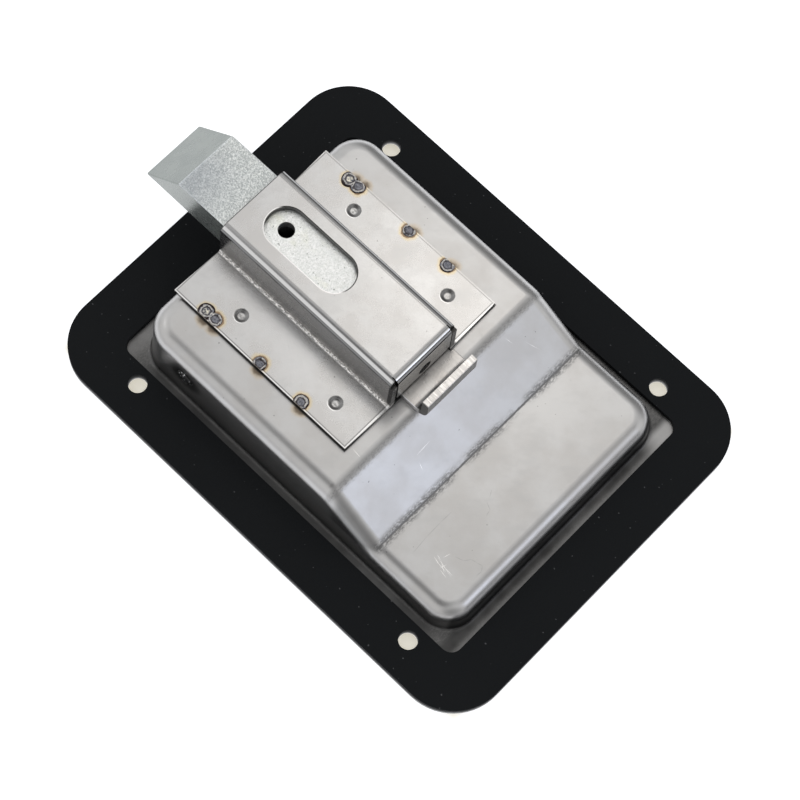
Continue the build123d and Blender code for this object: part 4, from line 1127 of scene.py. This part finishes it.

# %% [markdown]
# Where the slope begins and ends the sheet is darkened: painted shade in a line along the crease at
# its foot with dark speckle in patches beside it, and painted shade in a streaky band along the
# bend above it. Both masks are a distance from a line, broken up by fine speckle.

# %% Creases of the slope


def crease_marks(x, y, z, speckle, patch):
    """Painted shade along the slope's two bends with dark speckle, and the upper bend's own mask.
    """
    foot = abs(x - (SLOPE_FOOT_X + 0.1) + (speckle - 0.5) * 0.5)
    on_top = z.rise(5.0, 6.5) * abs(y).rise(36.8, 35.5)
    # Painted shade: a dark line in the crease at the slope's foot.
    line = foot.rise(0.34, 0.12) * on_top * 0.75
    torn = foot.rise(2.0, 0.3) * speckle.rise(0.40, 0.58)
    dark_speckle = torn * (patch + abs(y).rise(8.0, 30.0) * 0.2).rise(0.38, 0.6) * on_top
    wander = abs(x - (SLOPE_TOP_X - 0.4) + (speckle - 0.5) * 0.8)
    bend = wander.rise(1.5, 0.2) * z.rise(13.0, 15.0)
    # Painted shade: a streaky dark band along the upper bend.
    streaks = bend * (0.4 + speckle.rise(0.4, 0.7) * 0.6)
    return line.most(dark_speckle * 0.7).most(streaks * 0.55), bend


# %% [markdown]
# The strip of flange that the gasket leaves free is stained nearly black, darkest along the +Y
# side. Painted shade makes it darkest right at the foot of the shallow end's wall; further out it
# is painted lighter, as it is at the deep end and at the corner of the shallow end towards -Y.

# %% Stained flange


def flange_tint(paint, x, y, speckle):
    """The colours of the stained strip, with painted shade at the shallow end's foot."""
    beyond = PAN_X[0] - x
    sides = x.rise(PAN_X[0] + 2, PAN_X[0] + 8) * x.rise(PAN_X[1] - 1, PAN_X[1] - 9)
    strip = y.rise(38.0, 38.6) * sides * y.rise(38.4, 39.4)
    # Painted shade at the foot of the shallow end's wall, painted lighter further out.
    end_foot_shade = beyond.rise(3.6, 1.2) * beyond.rise(-2.0, 0.0)
    rubbed = beyond.rise(1.7, 4.1).most((x - PAN_X[1]).rise(-2.0, 1.0) * 0.6)
    corner = beyond.rise(-1.5, 1.0) * y.rise(-29.0, -36.0)
    return paint.coats(
        grey(0.06, 0.01),
        (speckle.rise(0.4, 0.7), grey(0.12, 0.02)),
        (strip, grey(0.035)),
        (end_foot_shade, grey(0.02)),
        (rubbed, grey(0.17, 0.01)),
        (corner * 0.85, grey(0.4, 0.01)))


# %% [markdown]
# Now the coats of the dish in their order. Painted shade darkens the walls near their foot, the
# end's bend and the rim beside the slope. The wall is painted nearly black around the pin's
# riveted end, where it was hammered, and the heat of the welds shows as straw with a brown middle.
# A painted contact shadow lines the dish where the housing's wings end.

# %% Marks on the dish


def outside_wings(x, y):
    """How far a place lies outside the wings' sheared outline, in millimetres."""
    return (abs(y) - WING_HALF_WIDTH).most(WING_X[0] - x).most(x - WING_X[1])


def dish_finish():
    """The satin sheet with all the dish's marks."""
    paint, tint, roughness, relief = rolled_sheet("satin_dish", 0.475, 0.32, 0.025)
    x, y, z = paint.split()
    speckle = paint.noise(0.4, 3.0, 0.8, paint.stretched((1, 0.4, 1)))
    patch = paint.noise(9.0, 2.0, 0.6)
    # Painted shade along the slope's bends, with dark speckle at the foot.
    dark, bend = crease_marks(x, y, z, speckle, patch)
    rear = z.rise(-2.6, -2.2)
    stain = z.rise(-0.9, -1.35) * (0.75 + patch * 0.3) * rear
    # Painted shade: the walls near their foot, the shallow end's bend, and the rim beside the slope
    # towards +Y.
    low_wall_shade = z.rise(4.6, 1.6) * (1 - stain) * rear
    end_bend_shade = z.rise(6.1, 5.3) * (PAN_X[0] - x).rise(-3.0, -2.0) * (1 - stain) * rear
    slope_rim_shade = y.rise(34.4, 36.4) * x.rise(-11.5, -14.5) * x.rise(-28.5, -25.5) * z.rise(5.5, 7.0)
    # The wall is painted nearly black around the pin's riveted end.
    dark_near_pin = paint.gap((PIN_X, PAN_HALF_WIDTH, PIN_Z)) + (patch - 0.5) * 3
    burn = paint.nearest(SCORCHES) + (paint.noise(1.8) - 0.5) * 1.6
    scorch = burn.rise(2.1, 1.0) * z.rise(16.5, 17.0)
    # Painted contact shadow on the dish just outside the wings' edges.
    wing_contact_shadow = outside_wings(x, y).rise(0.4, 0.2) * z.rise(17.0, 17.3)
    tint = paint.coats(
        tint,
        (dark, grey(0.10)),
        (paint.strokes(DISH_DARK_LINES, 0.08) * 0.4, grey(0.2)),
        (paint.strokes(DISH_SCRATCHES, 0.05) * 0.8, grey(1.0, 0.02)),
        (low_wall_shade * 0.35, grey(0.22)),
        (end_bend_shade * 0.75, grey(0.07)),
        (slope_rim_shade * 0.6, grey(0.12)),
        (dark_near_pin.rise(6.5, 2.5) * 0.85, grey(0.02)),
        (burn.rise(2.8, 1.8) * 0.4, (0.45, 0.33, 0.17, 1.0)),
        (scorch * 0.75, (0.07, 0.045, 0.025, 1.0)),
        (wing_contact_shadow * 0.85, grey(0.05)),
        (stain, flange_tint(paint, x, y, speckle)))
    relief = relief - dark * 0.08 + bend * speckle * 0.1
    return paint.finish(tint, roughness + dark * 0.15 + stain * 0.1, relief, 0.3)


dish_finish().on(dish)

# %% [markdown]
# The housing's edges tell how it was made. Each dimple is painted with a dark mottled ring in
# its wall and a painted highlight on its lip. A sheared rim is torn dark metal below a painted
# highlight on its rounded edge, with a line of painted shade inside it. The slot's punched wall
# and far edge get painted shade, and its edge towards +Y a painted highlight.

# %% Dimples, rims and slot


def dimple_marks(paint):
    """A dark mottled ring in each dimple's wall, and a painted highlight on the lip on the side
    that faces +Y.
    """
    centres = [(x, side * DIMPLE_Y, WING_TOP_Z - 0.3) for x in DIMPLE_XS for side in (-1, 1)]
    mottle = paint.noise(0.7, 2.0)
    ring = paint.nearest(centres) + (mottle - 0.5) * 0.4
    aside = paint.nearest([(x, y - 0.45, z) for x, y, z in centres])
    wall = ring.rise(0.5, 1.15) * ring.rise(2.0, 1.75)
    middle = ring.rise(1.2, 1.1) * mottle.rise(0.45, 0.6) * 0.7
    # The second mask is a painted highlight on each dimple's lip.
    return wall.most(middle), aside.rise(2.2, 2.35) * ring.rise(2.15, 2.0)


def above_wings(z):
    """0 at the height of the wings, 1 on the channel."""
    return z.rise(WING_TOP_Z + 0.6, WING_TOP_Z + 1.2)


def rim_marks(x, y, z):
    """The wings' sheared rim: a line of painted shade, a painted highlight on the rounded edge
    where light falls, then torn dark metal.
    """
    outside = outside_wings(x, y) + above_wings(z) * -9
    side_lit = y.rise(-WING_HALF_WIDTH + 0.5, -WING_HALF_WIDTH + 1)
    lit = side_lit * x.rise(WING_X[1] + 1, WING_X[1] - 1)
    # Painted shade inside the rim, and a painted highlight on its edge on the lit sides.
    inner = outside.rise(-0.7, -0.45) * outside.rise(-0.2, -0.34)
    bright = outside.rise(-0.32, -0.18) * z.rise(WING_TOP_Z - 0.5, WING_TOP_Z - 0.3) * lit
    torn = outside.rise(-0.05, -0.01) * z.rise(WING_TOP_Z - 0.35, WING_TOP_Z - 0.55)
    return inner * (0.35 + lit * 0.2), bright, torn


def from_slot(x, y):
    """Offset from the slot's middle line."""
    return x - x.most(SLOT_X[0]).least(SLOT_X[1]), y - SLOT_Y


def slot_marks(x, y, z):
    """Painted shade on the slot's punched wall and far edge, and a painted highlight on its edge
    towards +Y.
    """
    off_x, off_y = from_slot(x, y)
    reach = (off_x * off_x + off_y * off_y).math("SQRT")
    half = SLOT_HALF_WIDTH
    # Painted shade on the wall and far edge, a painted highlight on the edge towards +Y.
    wall = reach.rise(half + 0.22, half + 0.12) * z.rise(TOP_Z - 0.1, TOP_Z - 0.3)
    edge = reach.rise(half + 0.3, half + 0.18) * z.rise(TOP_Z - 0.3, TOP_Z - 0.1)
    towards = off_y + off_x * 0.5
    slot_wall_shade = wall * z.rise(TOP_Z - SHEET - 1, TOP_Z - SHEET)
    return slot_wall_shade.most(edge * towards.rise(0.5, -1.5)), edge * towards.rise(-1.0, 1.5)


# %% [markdown]
# The inner crease of each wing is rough, because the bend tore its skin: painted glints sparkle
# along it, with painted shade and dark streaks of painted shade beside it. The channel's upper
# bends get a painted sheen between two lines of painted shade, and painted shade darkens the far
# bend and the sheared front edge, where it meets the bolt.

# %% Folds of the housing
CREASE_Y = CHANNEL_HALF_WIDTH + 0.25


def crease_sparkle(paint, y, z):
    """Painted glints, painted shade and dark streaks of painted shade along the wings' creases."""
    speckle = paint.noise(0.35, 3.0, 0.8, paint.stretched((0.5, 1, 1)))
    low = z.rise(WING_TOP_Z + 1.2, WING_TOP_Z + 0.6)
    off = abs(y) - CREASE_Y
    # Painted glints on the crease, then painted shade streaked beside it.
    crease_glints = abs(off).rise(0.55, 0.2) * low * speckle.rise(0.40, 0.58)
    streaks = off.rise(3.6, 0.6) * low * speckle.rise(0.42, 0.62)
    return crease_glints, abs(off).rise(1.0, 0.3) * low, streaks


def fold_marks(x, y, z):
    """Painted sheen on the upper bends, and lines of painted shade along them, on the far bend and
    at the front edge.
    """
    bend_y = CHANNEL_HALF_WIDTH - HOUSING_BEND
    high = z.rise(TOP_Z - 2.4, TOP_Z - 1.8)
    past_bend = ((y + WALL_LEAN).most(-1 * y) - bend_y).most(FOLD_X - x)
    bend_start = past_bend.rise(-0.45, 0.0) * past_bend.rise(0.6, 0.3)
    bend_start = bend_start * z.rise(TOP_Z - 0.6, TOP_Z - 0.3)
    bend_end = z.rise(TOP_Z - 1.9, TOP_Z - 1.6) * z.rise(TOP_Z - 0.6, TOP_Z - 0.9)
    front = x.rise(CHANNEL_FRONT_X - 0.26, CHANNEL_FRONT_X - 0.1) * high
    far = (-1 * y).rise(bend_y + 0.6, bend_y + 1.0) * high
    # Lines of painted shade: the bends' two edges, the far bend and the front edge by the bolt.
    lines = (bend_start * 0.5).most(bend_end * 0.8).most(front * 0.95).most(far * 0.5)
    # The first mask is a painted sheen on the bends.
    return past_bend.rise(-0.2, 0.3) * high, lines


# %% [markdown]
# Heat from each tack weld leaves rings of colour on the housing: brown close by, then straw. The
# coats go on in this order: heat first, then painted shade by the creases and at the walls' foot,
# the creases' painted glints, the dimples' rings, painted shade inside the rims, painted
# highlights on the dimples' lips, the rims and the slot's edge, painted shade on the flap, torn
# metal with painted shade on the slot's wall and in the notches, and last the bends' painted
# sheen and lines of painted shade.

# %% Marks on the housing


def housing_finish():
    """The satin sheet with all the housing's marks."""
    paint, tint, roughness, relief = rolled_sheet("satin_housing", 0.515, 0.27, 0.01)
    x, y, z = paint.split()
    heat = paint.nearest(WELD_CENTRES) + (paint.noise(1.5) - 0.5) * 1.1
    brown = heat.rise(2.2, 1.95)
    pressed, lip = dimple_marks(paint)
    inner, bright, torn = rim_marks(x, y, z)
    slot_wall_shade, edge = slot_marks(x, y, z)
    crease_glints, shade, streaks = crease_sparkle(paint, y, z)
    bend_sheen, lines = fold_marks(x, y, z)
    # Painted shade: the side walls darker towards their foot, the flap's face, and the notches
    # beside the flap.
    wall_foot_shade = (abs(y) - CHANNEL_HALF_WIDTH).rise(0.4, 0.2) * z.rise(27.0, 19.5)
    flap = x.rise(HOUSING_LOW.x + 0.3, HOUSING_LOW.x + 0.1) * z.rise(30.5, 29.0)
    beside = (y + WALL_LEAN).most(-1 * y).rise(FLAP_HALF_WIDTH + 0.1, FLAP_HALF_WIDTH + 0.3)
    notch_shade = x.rise(NOTCH_X + 0.35, NOTCH_X + 0.2) * beside * above_wings(z)
    tint = paint.coats(
        tint,
        (heat.rise(3.1, 2.1) * 0.45, (0.62, 0.46, 0.17, 1.0)),
        (brown * 0.75, (0.2, 0.12, 0.07, 1.0)),
        (streaks * 0.3, grey(0.1, 0.02)),
        (wall_foot_shade * 0.55, grey(0.2, 0.02)),
        (shade * 0.6, grey(0.16, 0.02)),
        (crease_glints, grey(0.9, 0.03)),
        (pressed * 0.8, grey(0.12, 0.01)),
        (inner, grey(0.08, 0.01)),
        (lip.most(bright).most(edge) * 0.65, grey(0.9, 0.01)),
        (flap * 0.45, (0.12, 0.125, 0.11, 1.0)),
        (torn.most(slot_wall_shade).most(notch_shade), grey(0.03, 0.02)),
        (bend_sheen * 0.5, grey(0.75)),
        (lines, grey(0.05)))
    roughness = roughness + brown * 0.1 + shade * 0.1 - bend_sheen * 0.15
    return paint.finish(tint, roughness, relief + crease_glints * 0.15, 0.25)


housing_finish().on(housing)

# %% [markdown]
# A tack weld on stainless is darker than the sheet: a blue-grey pool with a paler, silvery rim
# where the puddle froze last, and a dark ring of scale where it meets the sheet.

# %% Weld metal


def weld_finish():
    """Mottled blue-grey with a silvery rim, dark scale and two bright craters."""
    paint = Paint("scaled_weld", Metallic=1.0)
    mottle = paint.noise(0.5, 4.0, 0.7)
    blotch = paint.noise(1.3)
    wavy = paint.nearest(WELD_CENTRES) + (mottle - 0.5) * 0.6 + (blotch - 0.5) * 1.5
    rim = wavy.rise(1.25, 1.4) * wavy.rise(1.75, 1.6) * blotch.rise(0.42, 0.55)
    ring = abs(wavy - 1.1).rise(0.22, 0.05) * 0.8
    scale = wavy.rise(1.7, 1.82).most(ring).most(mottle.rise(0.6, 0.68) * 0.6)
    craters = paint.nearest([weld_centre(*weld) for weld in WELD_CRATERS]).rise(1.0, 0.5)
    tint = paint.coats(
        (0.10, 0.105, 0.12, 1.0),
        (mottle.rise(0.35, 0.65), (0.26, 0.26, 0.29, 1.0)),
        (rim, (0.55, 0.53, 0.5, 1.0)),
        (scale, (0.04, 0.03, 0.028, 1.0)),
        (craters * mottle.rise(0.4, 0.6), (0.85, 0.8, 0.66, 1.0)))
    return paint.finish(tint, 0.22 + mottle * 0.2, mottle, 0.1)


weld_finish().on(welds)

# %% [markdown]
# The gasket is black foam rubber. It is matt and nearly even, with faint dust.

# %% Gasket rubber


def rubber_finish():
    """Near black, with pores and a little dust."""
    paint = Paint("black_rubber", Metallic=0.0, Specular_IOR_Level=0.1)
    pores = paint.noise(0.5, 5.0, 0.7)
    dust = paint.noise(0.9, 1.0, 0.4).rise(0.765, 0.79)
    tint = paint.coats(
        (0.0048, 0.0056, 0.0064, 1.0),
        (paint.noise(30.0, 3.0, 0.6), (0.0068, 0.0076, 0.0082, 1.0)),
        (dust * 0.5, grey(0.12)))
    return paint.finish(tint, 0.6 + (pores - 0.5) * 0.2, pores, 0.05)


rubber_finish().on(gasket)

# %% [markdown]
# The bolt is plated with zinc: a little green and duller than stainless. Its top is coarse from
# the rolled bar, and a band where the housing rubs is mottled. The tapped hole's wall is painted
# dark as shade, with painted glints on its thread, and a painted shadow lies on the bolt under the
# slot's edge.

# %% Zinc plate


def bolt_top_tint(paint, texture, cloud, dull, inside):
    """The coarse top: dull towards the bevel, and rubbed inside the housing."""
    rolled = paint.coats(
        (0.42, 0.45, 0.445, 1.0),
        (texture, (0.98, 1.0, 0.98, 1.0)),
        (dull * 0.5, (0.30, 0.33, 0.38, 1.0)))
    rubbed = paint.coats(
        (0.70, 0.715, 0.69, 1.0),
        (texture, (1.0, 1.0, 0.99, 1.0)),
        (cloud.rise(0.55, 0.75) * 0.4, (0.80, 0.81, 0.64, 1.0)))
    return paint.blend(inside, rolled, rubbed)


def bore_marks(x, y, z):
    """The tapped hole's wall, painted dark as shade, the winding of its thread, and the painted
    glints on it.
    """
    off_x, off_y = x - THREAD_X, y - AXIS_Y
    wall = (off_x * off_x + off_y * off_y).rise(4.75, 4.35)
    bore = wall * z.rise(BOLT_HIGH.z - 0.1, BOLT_HIGH.z - 0.8)
    winding = (z * 8.0).math("SINE") * bore
    return bore, winding, winding.rise(0.3, 0.9) * z.rise(BOLT_HIGH.z - 3.5, BOLT_HIGH.z - 2.5)


def slot_edge_shadow(x, y):
    """Painted shadow on the bolt under the slot's edge, on the side away from +Y."""
    off_x, off_y = from_slot(x, y)
    off_x, off_y = off_x - 0.35, off_y + 0.55
    reach = (off_x * off_x + off_y * off_y).math("SQRT")
    near_edge = reach.rise(SLOT_HALF_WIDTH - 0.9, SLOT_HALF_WIDTH - 0.1)
    return near_edge * (off_y - off_x * 0.7).rise(0.5, -1.5)


def bolt_finish():
    """Zinc plate with all the bolt's marks."""
    paint = Paint("zinc_bolt")
    x, y, z = paint.split()
    cloud = paint.noise(8.0, 3.0, 0.6)
    texture = paint.noise(0.4, 3.0, 0.75).rise(0.3, 0.7)
    specks = paint.noise(0.6, 2.0, 0.6).rise(0.66, 0.72)
    flat_top = z.rise(BOLT_HIGH.z - 0.6, BOLT_HIGH.z - 0.1)
    inside = x.rise(CHANNEL_FRONT_X + 1, CHANNEL_FRONT_X - 2) * flat_top
    dull = x.rise(50.0, 66.0) * y.rise(-9.0, 5.0) * flat_top
    bore, winding, thread = bore_marks(x, y, z)
    tint = paint.coats(
        (0.25, 0.27, 0.255, 1.0),
        (cloud.rise(0.3, 0.7), (0.30, 0.32, 0.30, 1.0)),
        (flat_top, bolt_top_tint(paint, texture, cloud, dull, inside)),
        (specks * (0.3 + inside * 0.5), (0.2, 0.21, 0.19, 1.0)),
        # Painted shade in the tapped hole, with painted glints on its thread.
        (bore, paint.blend(thread, grey(0.02), grey(0.45))),
        # Painted shadow on the bolt under the slot's edge.
        (slot_edge_shadow(x, y) * flat_top * inside * 0.92, grey(0.03)))
    sides = z.rise(BOLT_HIGH.z - 0.2, BOLT_HIGH.z - 0.8)
    paint.use("Metallic", 1 - sides * 0.3 * (1 - bore))
    relief = texture * (0.1 + flat_top * 0.9 - inside * 0.5) + cloud * 0.2 + winding * 3
    return paint.finish(tint, 0.27 + flat_top * 0.06 + (cloud - 0.5) * 0.1, relief, 0.07)


bolt_finish().on(bolt)

# %% [markdown]
# The rod, the lever arm, the nut, the cam and its screw are plated as well, but they see no
# wear. A fine spangle in colour and roughness is enough.

# %% Plated parts


def zinc_finish():
    """Zinc plate with its fine spangle."""
    paint = Paint("zinc_parts", Metallic=1.0)
    spangle = paint.noise(0.5, 3.0, 0.75)
    colours = (0.36, 0.39, 0.39, 1.0), (0.55, 0.58, 0.56, 1.0)
    tint = paint.blend(spangle.rise(0.35, 0.65), *colours)
    return paint.finish(tint, 0.3 + (spangle - 0.5) * 0.2, spangle, 0.05)


PLATED = ("spring_guide_rod", "lever_arm", "lock_nut", "cam", "cam_screw")
zinc_finish().on(*(nodes[name] for name in PLATED))

# %% [markdown]
# Turned, wound and polished parts share one recipe, each with its own level, roughness and
# direction of the grain. The grain is one noise, drawn out along the way the tool went.

# %% Plain steel
STEEL_RELIEF = 0.05


def steel(name, level, rough, grain_scale, warmth=0.0):
    """Drawn, turned or brushed steel: the paint, its colour, roughness and relief."""
    paint = Paint(name, Metallic=1.0)
    lines = paint.noise(0.9, 4.0, 0.7, paint.stretched(grain_scale))
    cloud = paint.noise(6.0)
    tint = paint.coats(
        grey(level, warmth),
        (cloud.rise(0.3, 0.7), grey(level * 0.86, warmth * 1.5)),
        (lines.rise(0.45, 0.7) * 0.3, grey(level * 1.3, warmth)))
    return paint, tint, rough + (lines - 0.5) * 0.2, lines + cloud * 0.4


PLAIN_STEEL = (
    (("turned_rivet", 0.5, 0.2, (1, 0.2, 1)), [nodes["lever_rivets"]]),
    (("spring_wire", 0.4, 0.22, (1, 1, 1)),
     [bolt_coil, paddle_coil, nodes["pin_clips"], nodes["lock_washer"], nodes["cam_washer"]]),
    (("satin_paddle", 0.56, 0.26, (0.06, 1, 1), 0.01),
     [nodes["paddle_plate"], nodes["cam_keeper"]]),
    (("chromed_cylinder", 0.62, 0.12, (1, 1, 1)), [nodes["lock_body"], nodes["lock_plug"]]))
for recipe, pieces in PLAIN_STEEL:
    steel_paint, *looks = steel(*recipe)
    steel_paint.finish(*looks, STEEL_RELIEF).on(*pieces)

# %% [markdown]
# The tab is plain mild steel plate with brushed faces. Its sheared edge gets a painted highlight
# along the strip and painted shade on the lip's end, painted shade lies at the lip's root, and the
# top of the lip has pale streaks from the shear.

# %% Sheared tab


def tab_finish():
    """Brushed plate with its sheared edges."""
    paint, tint, roughness, relief = steel("sheared_tab", 0.55, 0.3, (0.3, 1, 1), 0.03)
    x, y, z = paint.split()
    lip_x, strip_z = TAB_LOW.x + TAB_PLATE, TAB_LOW.z + TAB_PLATE
    edge = y.rise(TAB_HIGH.y - 0.25, TAB_HIGH.y - 0.12)
    strip = x.rise(lip_x, lip_x + 0.8)
    root = abs(x - (lip_x + 0.1)).rise(0.35, 0.1) * z.rise(strip_z + 3, strip_z + 1.5)
    lip_top = z.rise(TAB_HIGH.z - 0.3, TAB_HIGH.z - 0.1)
    streaks = paint.noise(0.5, 2.0, 0.6, paint.stretched((0.15, 1, 1))).rise(0.4, 0.6)
    # Painted highlight on the edge along the strip, painted shade on the lip's end and at its root.
    tint = paint.coats(
        tint,
        (edge * strip, grey(0.95)),
        (edge * (1 - strip) * 0.8, grey(0.10)),
        (root * 0.7, grey(0.1)),
        (lip_top * streaks * 0.7, grey(0.8, 0.03)))
    return paint.finish(tint, roughness, relief, STEEL_RELIEF)


tab_finish().on(tab, nodes["tab_rivets"])

# %% [markdown]
# The hinge pin is turned steel. Its two riveted ends show in the side walls: painted dark,
# pitted, and with a few painted glints. The wafers of the lock are brass, filed smooth across their
# flats.

# %% Hinge pin and wafers


def pin_finish():
    """Turned steel whose riveted ends are pitted and painted dark, with a few painted glints."""
    paint = Paint("turned_pin", Metallic=1.0)
    x, y, z = paint.split()
    pits = paint.noise(0.9, 3.0, 0.7)
    ends = abs(y).rise(PIN_HIGH.y - 0.9, PIN_HIGH.y - 0.6)
    # The riveted ends: painted dark, with painted glints on the pits.
    riveted = paint.blend(pits.rise(0.56, 0.62), grey(0.03), grey(0.95))
    tint = paint.coats(grey(0.42), (pits.rise(0.3, 0.7), grey(0.56)), (ends, riveted))
    paint.use("Base Color", tint)
    paint.use("Roughness", 0.2 + pits * 0.1 + ends * 0.2)
    return paint


def brass_finish():
    """Brass with fine lines across."""
    paint = Paint("wafer_brass", Metallic=1.0)
    lines = paint.noise(0.5, 3.0, 0.7, paint.stretched((1, 1, 0.2)))
    tint = paint.blend(lines, (0.55, 0.38, 0.12, 1.0), (0.72, 0.54, 0.2, 1.0))
    return paint.finish(tint, 0.24 + lines * 0.15, lines, 0.03)


pin_finish().on(nodes["hinge_pin"])
brass_finish().on(nodes["wafers"])

# %% [markdown]
# The stage is a pale floor in even light. The floor looks white to the camera and in
# reflections, and it still takes the lock's shadow. Under the lock a warm, darker patch is painted
# into the floor's glow as shadow, which the camera sees through the lock's holes.

# %% Floor
FLOOR_SIZE = 6.0        # metres
FLOOR_GAP = 0.2
UNDER_X = 66.0          # half the length and width of the ground under the lock
UNDER_Y = 50.0


def pale_floor():
    """A large plane just under the lock, which isn't part of it."""
    deselect()
    place = (0, 0, cad_low.z - FLOOR_GAP * MM)
    bpy.ops.mesh.primitive_plane_add(size=FLOOR_SIZE, location=place)
    floor = settle("floor")
    paint = Paint("pale_floor", Metallic=0.0, Roughness=0.9, Specular_IOR_Level=0.0)
    paint.surface.inputs["Base Color"].default_value = grey(0.9)
    camera_ray = paint.node("ShaderNodeLightPath", {}, {}, "Is Camera Ray")
    glossy_ray = paint.node("ShaderNodeLightPath", {}, {}, "Is Glossy Ray")
    x, y, z = paint.split()
    # Painted shadow: under the lock the floor glows a warm, darker colour.
    under = abs(x).rise(UNDER_X + 2, UNDER_X) * abs(y).rise(UNDER_Y + 2, UNDER_Y)
    bare = paint.blend(under, grey(0.55), (0.40, 0.365, 0.27, 1.0))
    paint.use("Emission Color", paint.blend(glossy_ray, bare, grey(0.45)))
    paint.use("Emission Strength", camera_ray.most(glossy_ray))
    paint.on(floor)


pale_floor()

# %% [markdown]
# Around the floor the studio is white, but satin metal shows whatever isn't: a dark patch
# behind the camera, a dark corner, the shade beside a lamp, a dimmer side, something dark low
# beyond the shallow end, and a dim band at the horizon. Each is a cone of directions with a
# soft edge, and only reflections see them.

# %% Studio
WHITE = grey(1.0)
DARK_PATCHES = (
    # direction, angles in degrees where it is full and where it ends, share, colour
    ((0.0, 0.33, 0.94), 10, 25, 0.85, grey(0.0)),       # camera
    ((-0.70, 0.5, 0.46), 10, 32, 0.65, grey(0.03)),     # corner
    ((-0.40, -0.27, 0.87), 4, 15, 0.7, grey(0.05)),     # lamp's shade
    ((0.15, -1.0, 0.2), 15, 50, 0.75, grey(0.05)),      # dim side
    ((-0.95, -0.2, 0.15), 10, 18, 0.85, grey(0.02)))    # low end


def patch(studio, direction, towards, inner, outer):
    """1 within a cone around a direction, 0 outside a wider one, angles in degrees."""
    axis = Vector(towards).normalized()
    lean = studio.vector("DOT_PRODUCT", {0: direction, 1: axis}, "Value")
    return lean.rise(math.cos(math.radians(outer)), math.cos(math.radians(inner)))


def white_studio():
    """The world: white to the camera, cool light for the shapes, dark patches in metal."""
    world = bpy.data.worlds.new("studio")
    bpy.context.scene.world = world
    world.use_nodes = True
    studio = Nodes(world.node_tree)
    direction = studio.node("ShaderNodeTexCoord", {}, {}, "Generated")
    camera_ray = studio.node("ShaderNodeLightPath", {}, {}, "Is Camera Ray")
    glossy_ray = studio.node("ShaderNodeLightPath", {}, {}, "Is Glossy Ray")
    height = studio.vector("DOT_PRODUCT", {0: direction, 1: (0.0, 0.0, 1.0)}, "Value")
    horizon = height.rise(0.28, -0.02) * height.rise(-0.35, -0.1)
    patches = [(patch(studio, direction, towards, inner, outer) * share, colour)
               for towards, inner, outer, share, colour in DARK_PATCHES]
    room = studio.coats(WHITE, *patches, (horizon * 0.6, grey(0.1)))
    light = studio.coats((0.86, 0.88, 0.92, 1.0), (glossy_ray, room), (camera_ray, WHITE))
    background = world.node_tree.nodes["Background"]
    studio.tree.links.new(light.socket, background.inputs["Color"])
    print("studio with", len(DARK_PATCHES), "dark patches")


white_studio()

# %% [markdown]
# Metal shows the room more than itself. One warm softbox stands near where the flat tops
# mirror it to the camera, so that they grow brighter to one side, and a cool one faces the
# slope and the end's ridge. A small weak one lights the walls that look towards +X and +Y.

# %% Lamps


def softbox(name, direction, distance, size, power, colour):
    """A square lamp in a direction from the lock, aimed at it."""
    lamp = bpy.data.lights.new(name, "AREA")
    lamp.shape = "SQUARE"
    lamp.size = size
    lamp.energy = power
    lamp.color = colour
    obj = bpy.data.objects.new(name, lamp)
    bpy.context.scene.collection.objects.link(obj)
    way = Vector(direction).normalized()
    obj.location = way * distance
    obj.rotation_mode = "QUATERNION"
    obj.rotation_quaternion = way.to_track_quat("Z", "Y")
    print(name, "lamp at", [round(v, 3) for v in obj.location], "with", power, "W")


softbox("key", (0.18, -0.367, 0.913), 0.52, 0.12, 0.07, (1.0, 0.95, 0.88))
softbox("cool", (-0.809, -0.186, 0.557), 0.52, 0.13, 0.066, (0.75, 0.86, 1.15))
softbox("corner", (0.724, 0.252, 0.644), 0.5, 0.08, 0.03, (1.0, 1.0, 1.0))

# %% [markdown]
# The camera was solved from the photo: from the flange's outline, the four holes and the
# housing. Its place and its long lens follow from that.

# %% Camera
CAMERA_PLACE = Vector((-0.12381, 0.16979, 0.58549))
CAMERA_RIGHT = Vector((-0.72111, -0.69115, 0.04815))
CAMERA_DOWN = Vector((-0.66480, 0.67071, -0.32891))
CAMERA_LENS = 113.5
SENSOR = 36.0


def place_camera():
    """Puts the camera in its place and turns it as the photo was taken."""
    data = bpy.data.cameras.new("camera")
    data.lens = CAMERA_LENS
    data.sensor_width = SENSOR
    data.clip_start = 0.01
    data.clip_end = 50.0
    camera = bpy.data.objects.new("camera", data)
    bpy.context.scene.collection.objects.link(camera)
    turned = camera.matrix_world.copy()
    columns = (CAMERA_RIGHT, -CAMERA_DOWN, CAMERA_RIGHT.cross(-CAMERA_DOWN), CAMERA_PLACE)
    for number, column in enumerate(columns):
        for row in range(3):
            turned[row][number] = column[row]
    camera.matrix_world = turned
    bpy.context.scene.camera = camera
    print("camera", round(CAMERA_PLACE.length, 3), "m from the lock, lens", data.lens, "mm")


place_camera()
bpy.context.scene.view_settings.view_transform = "Standard"
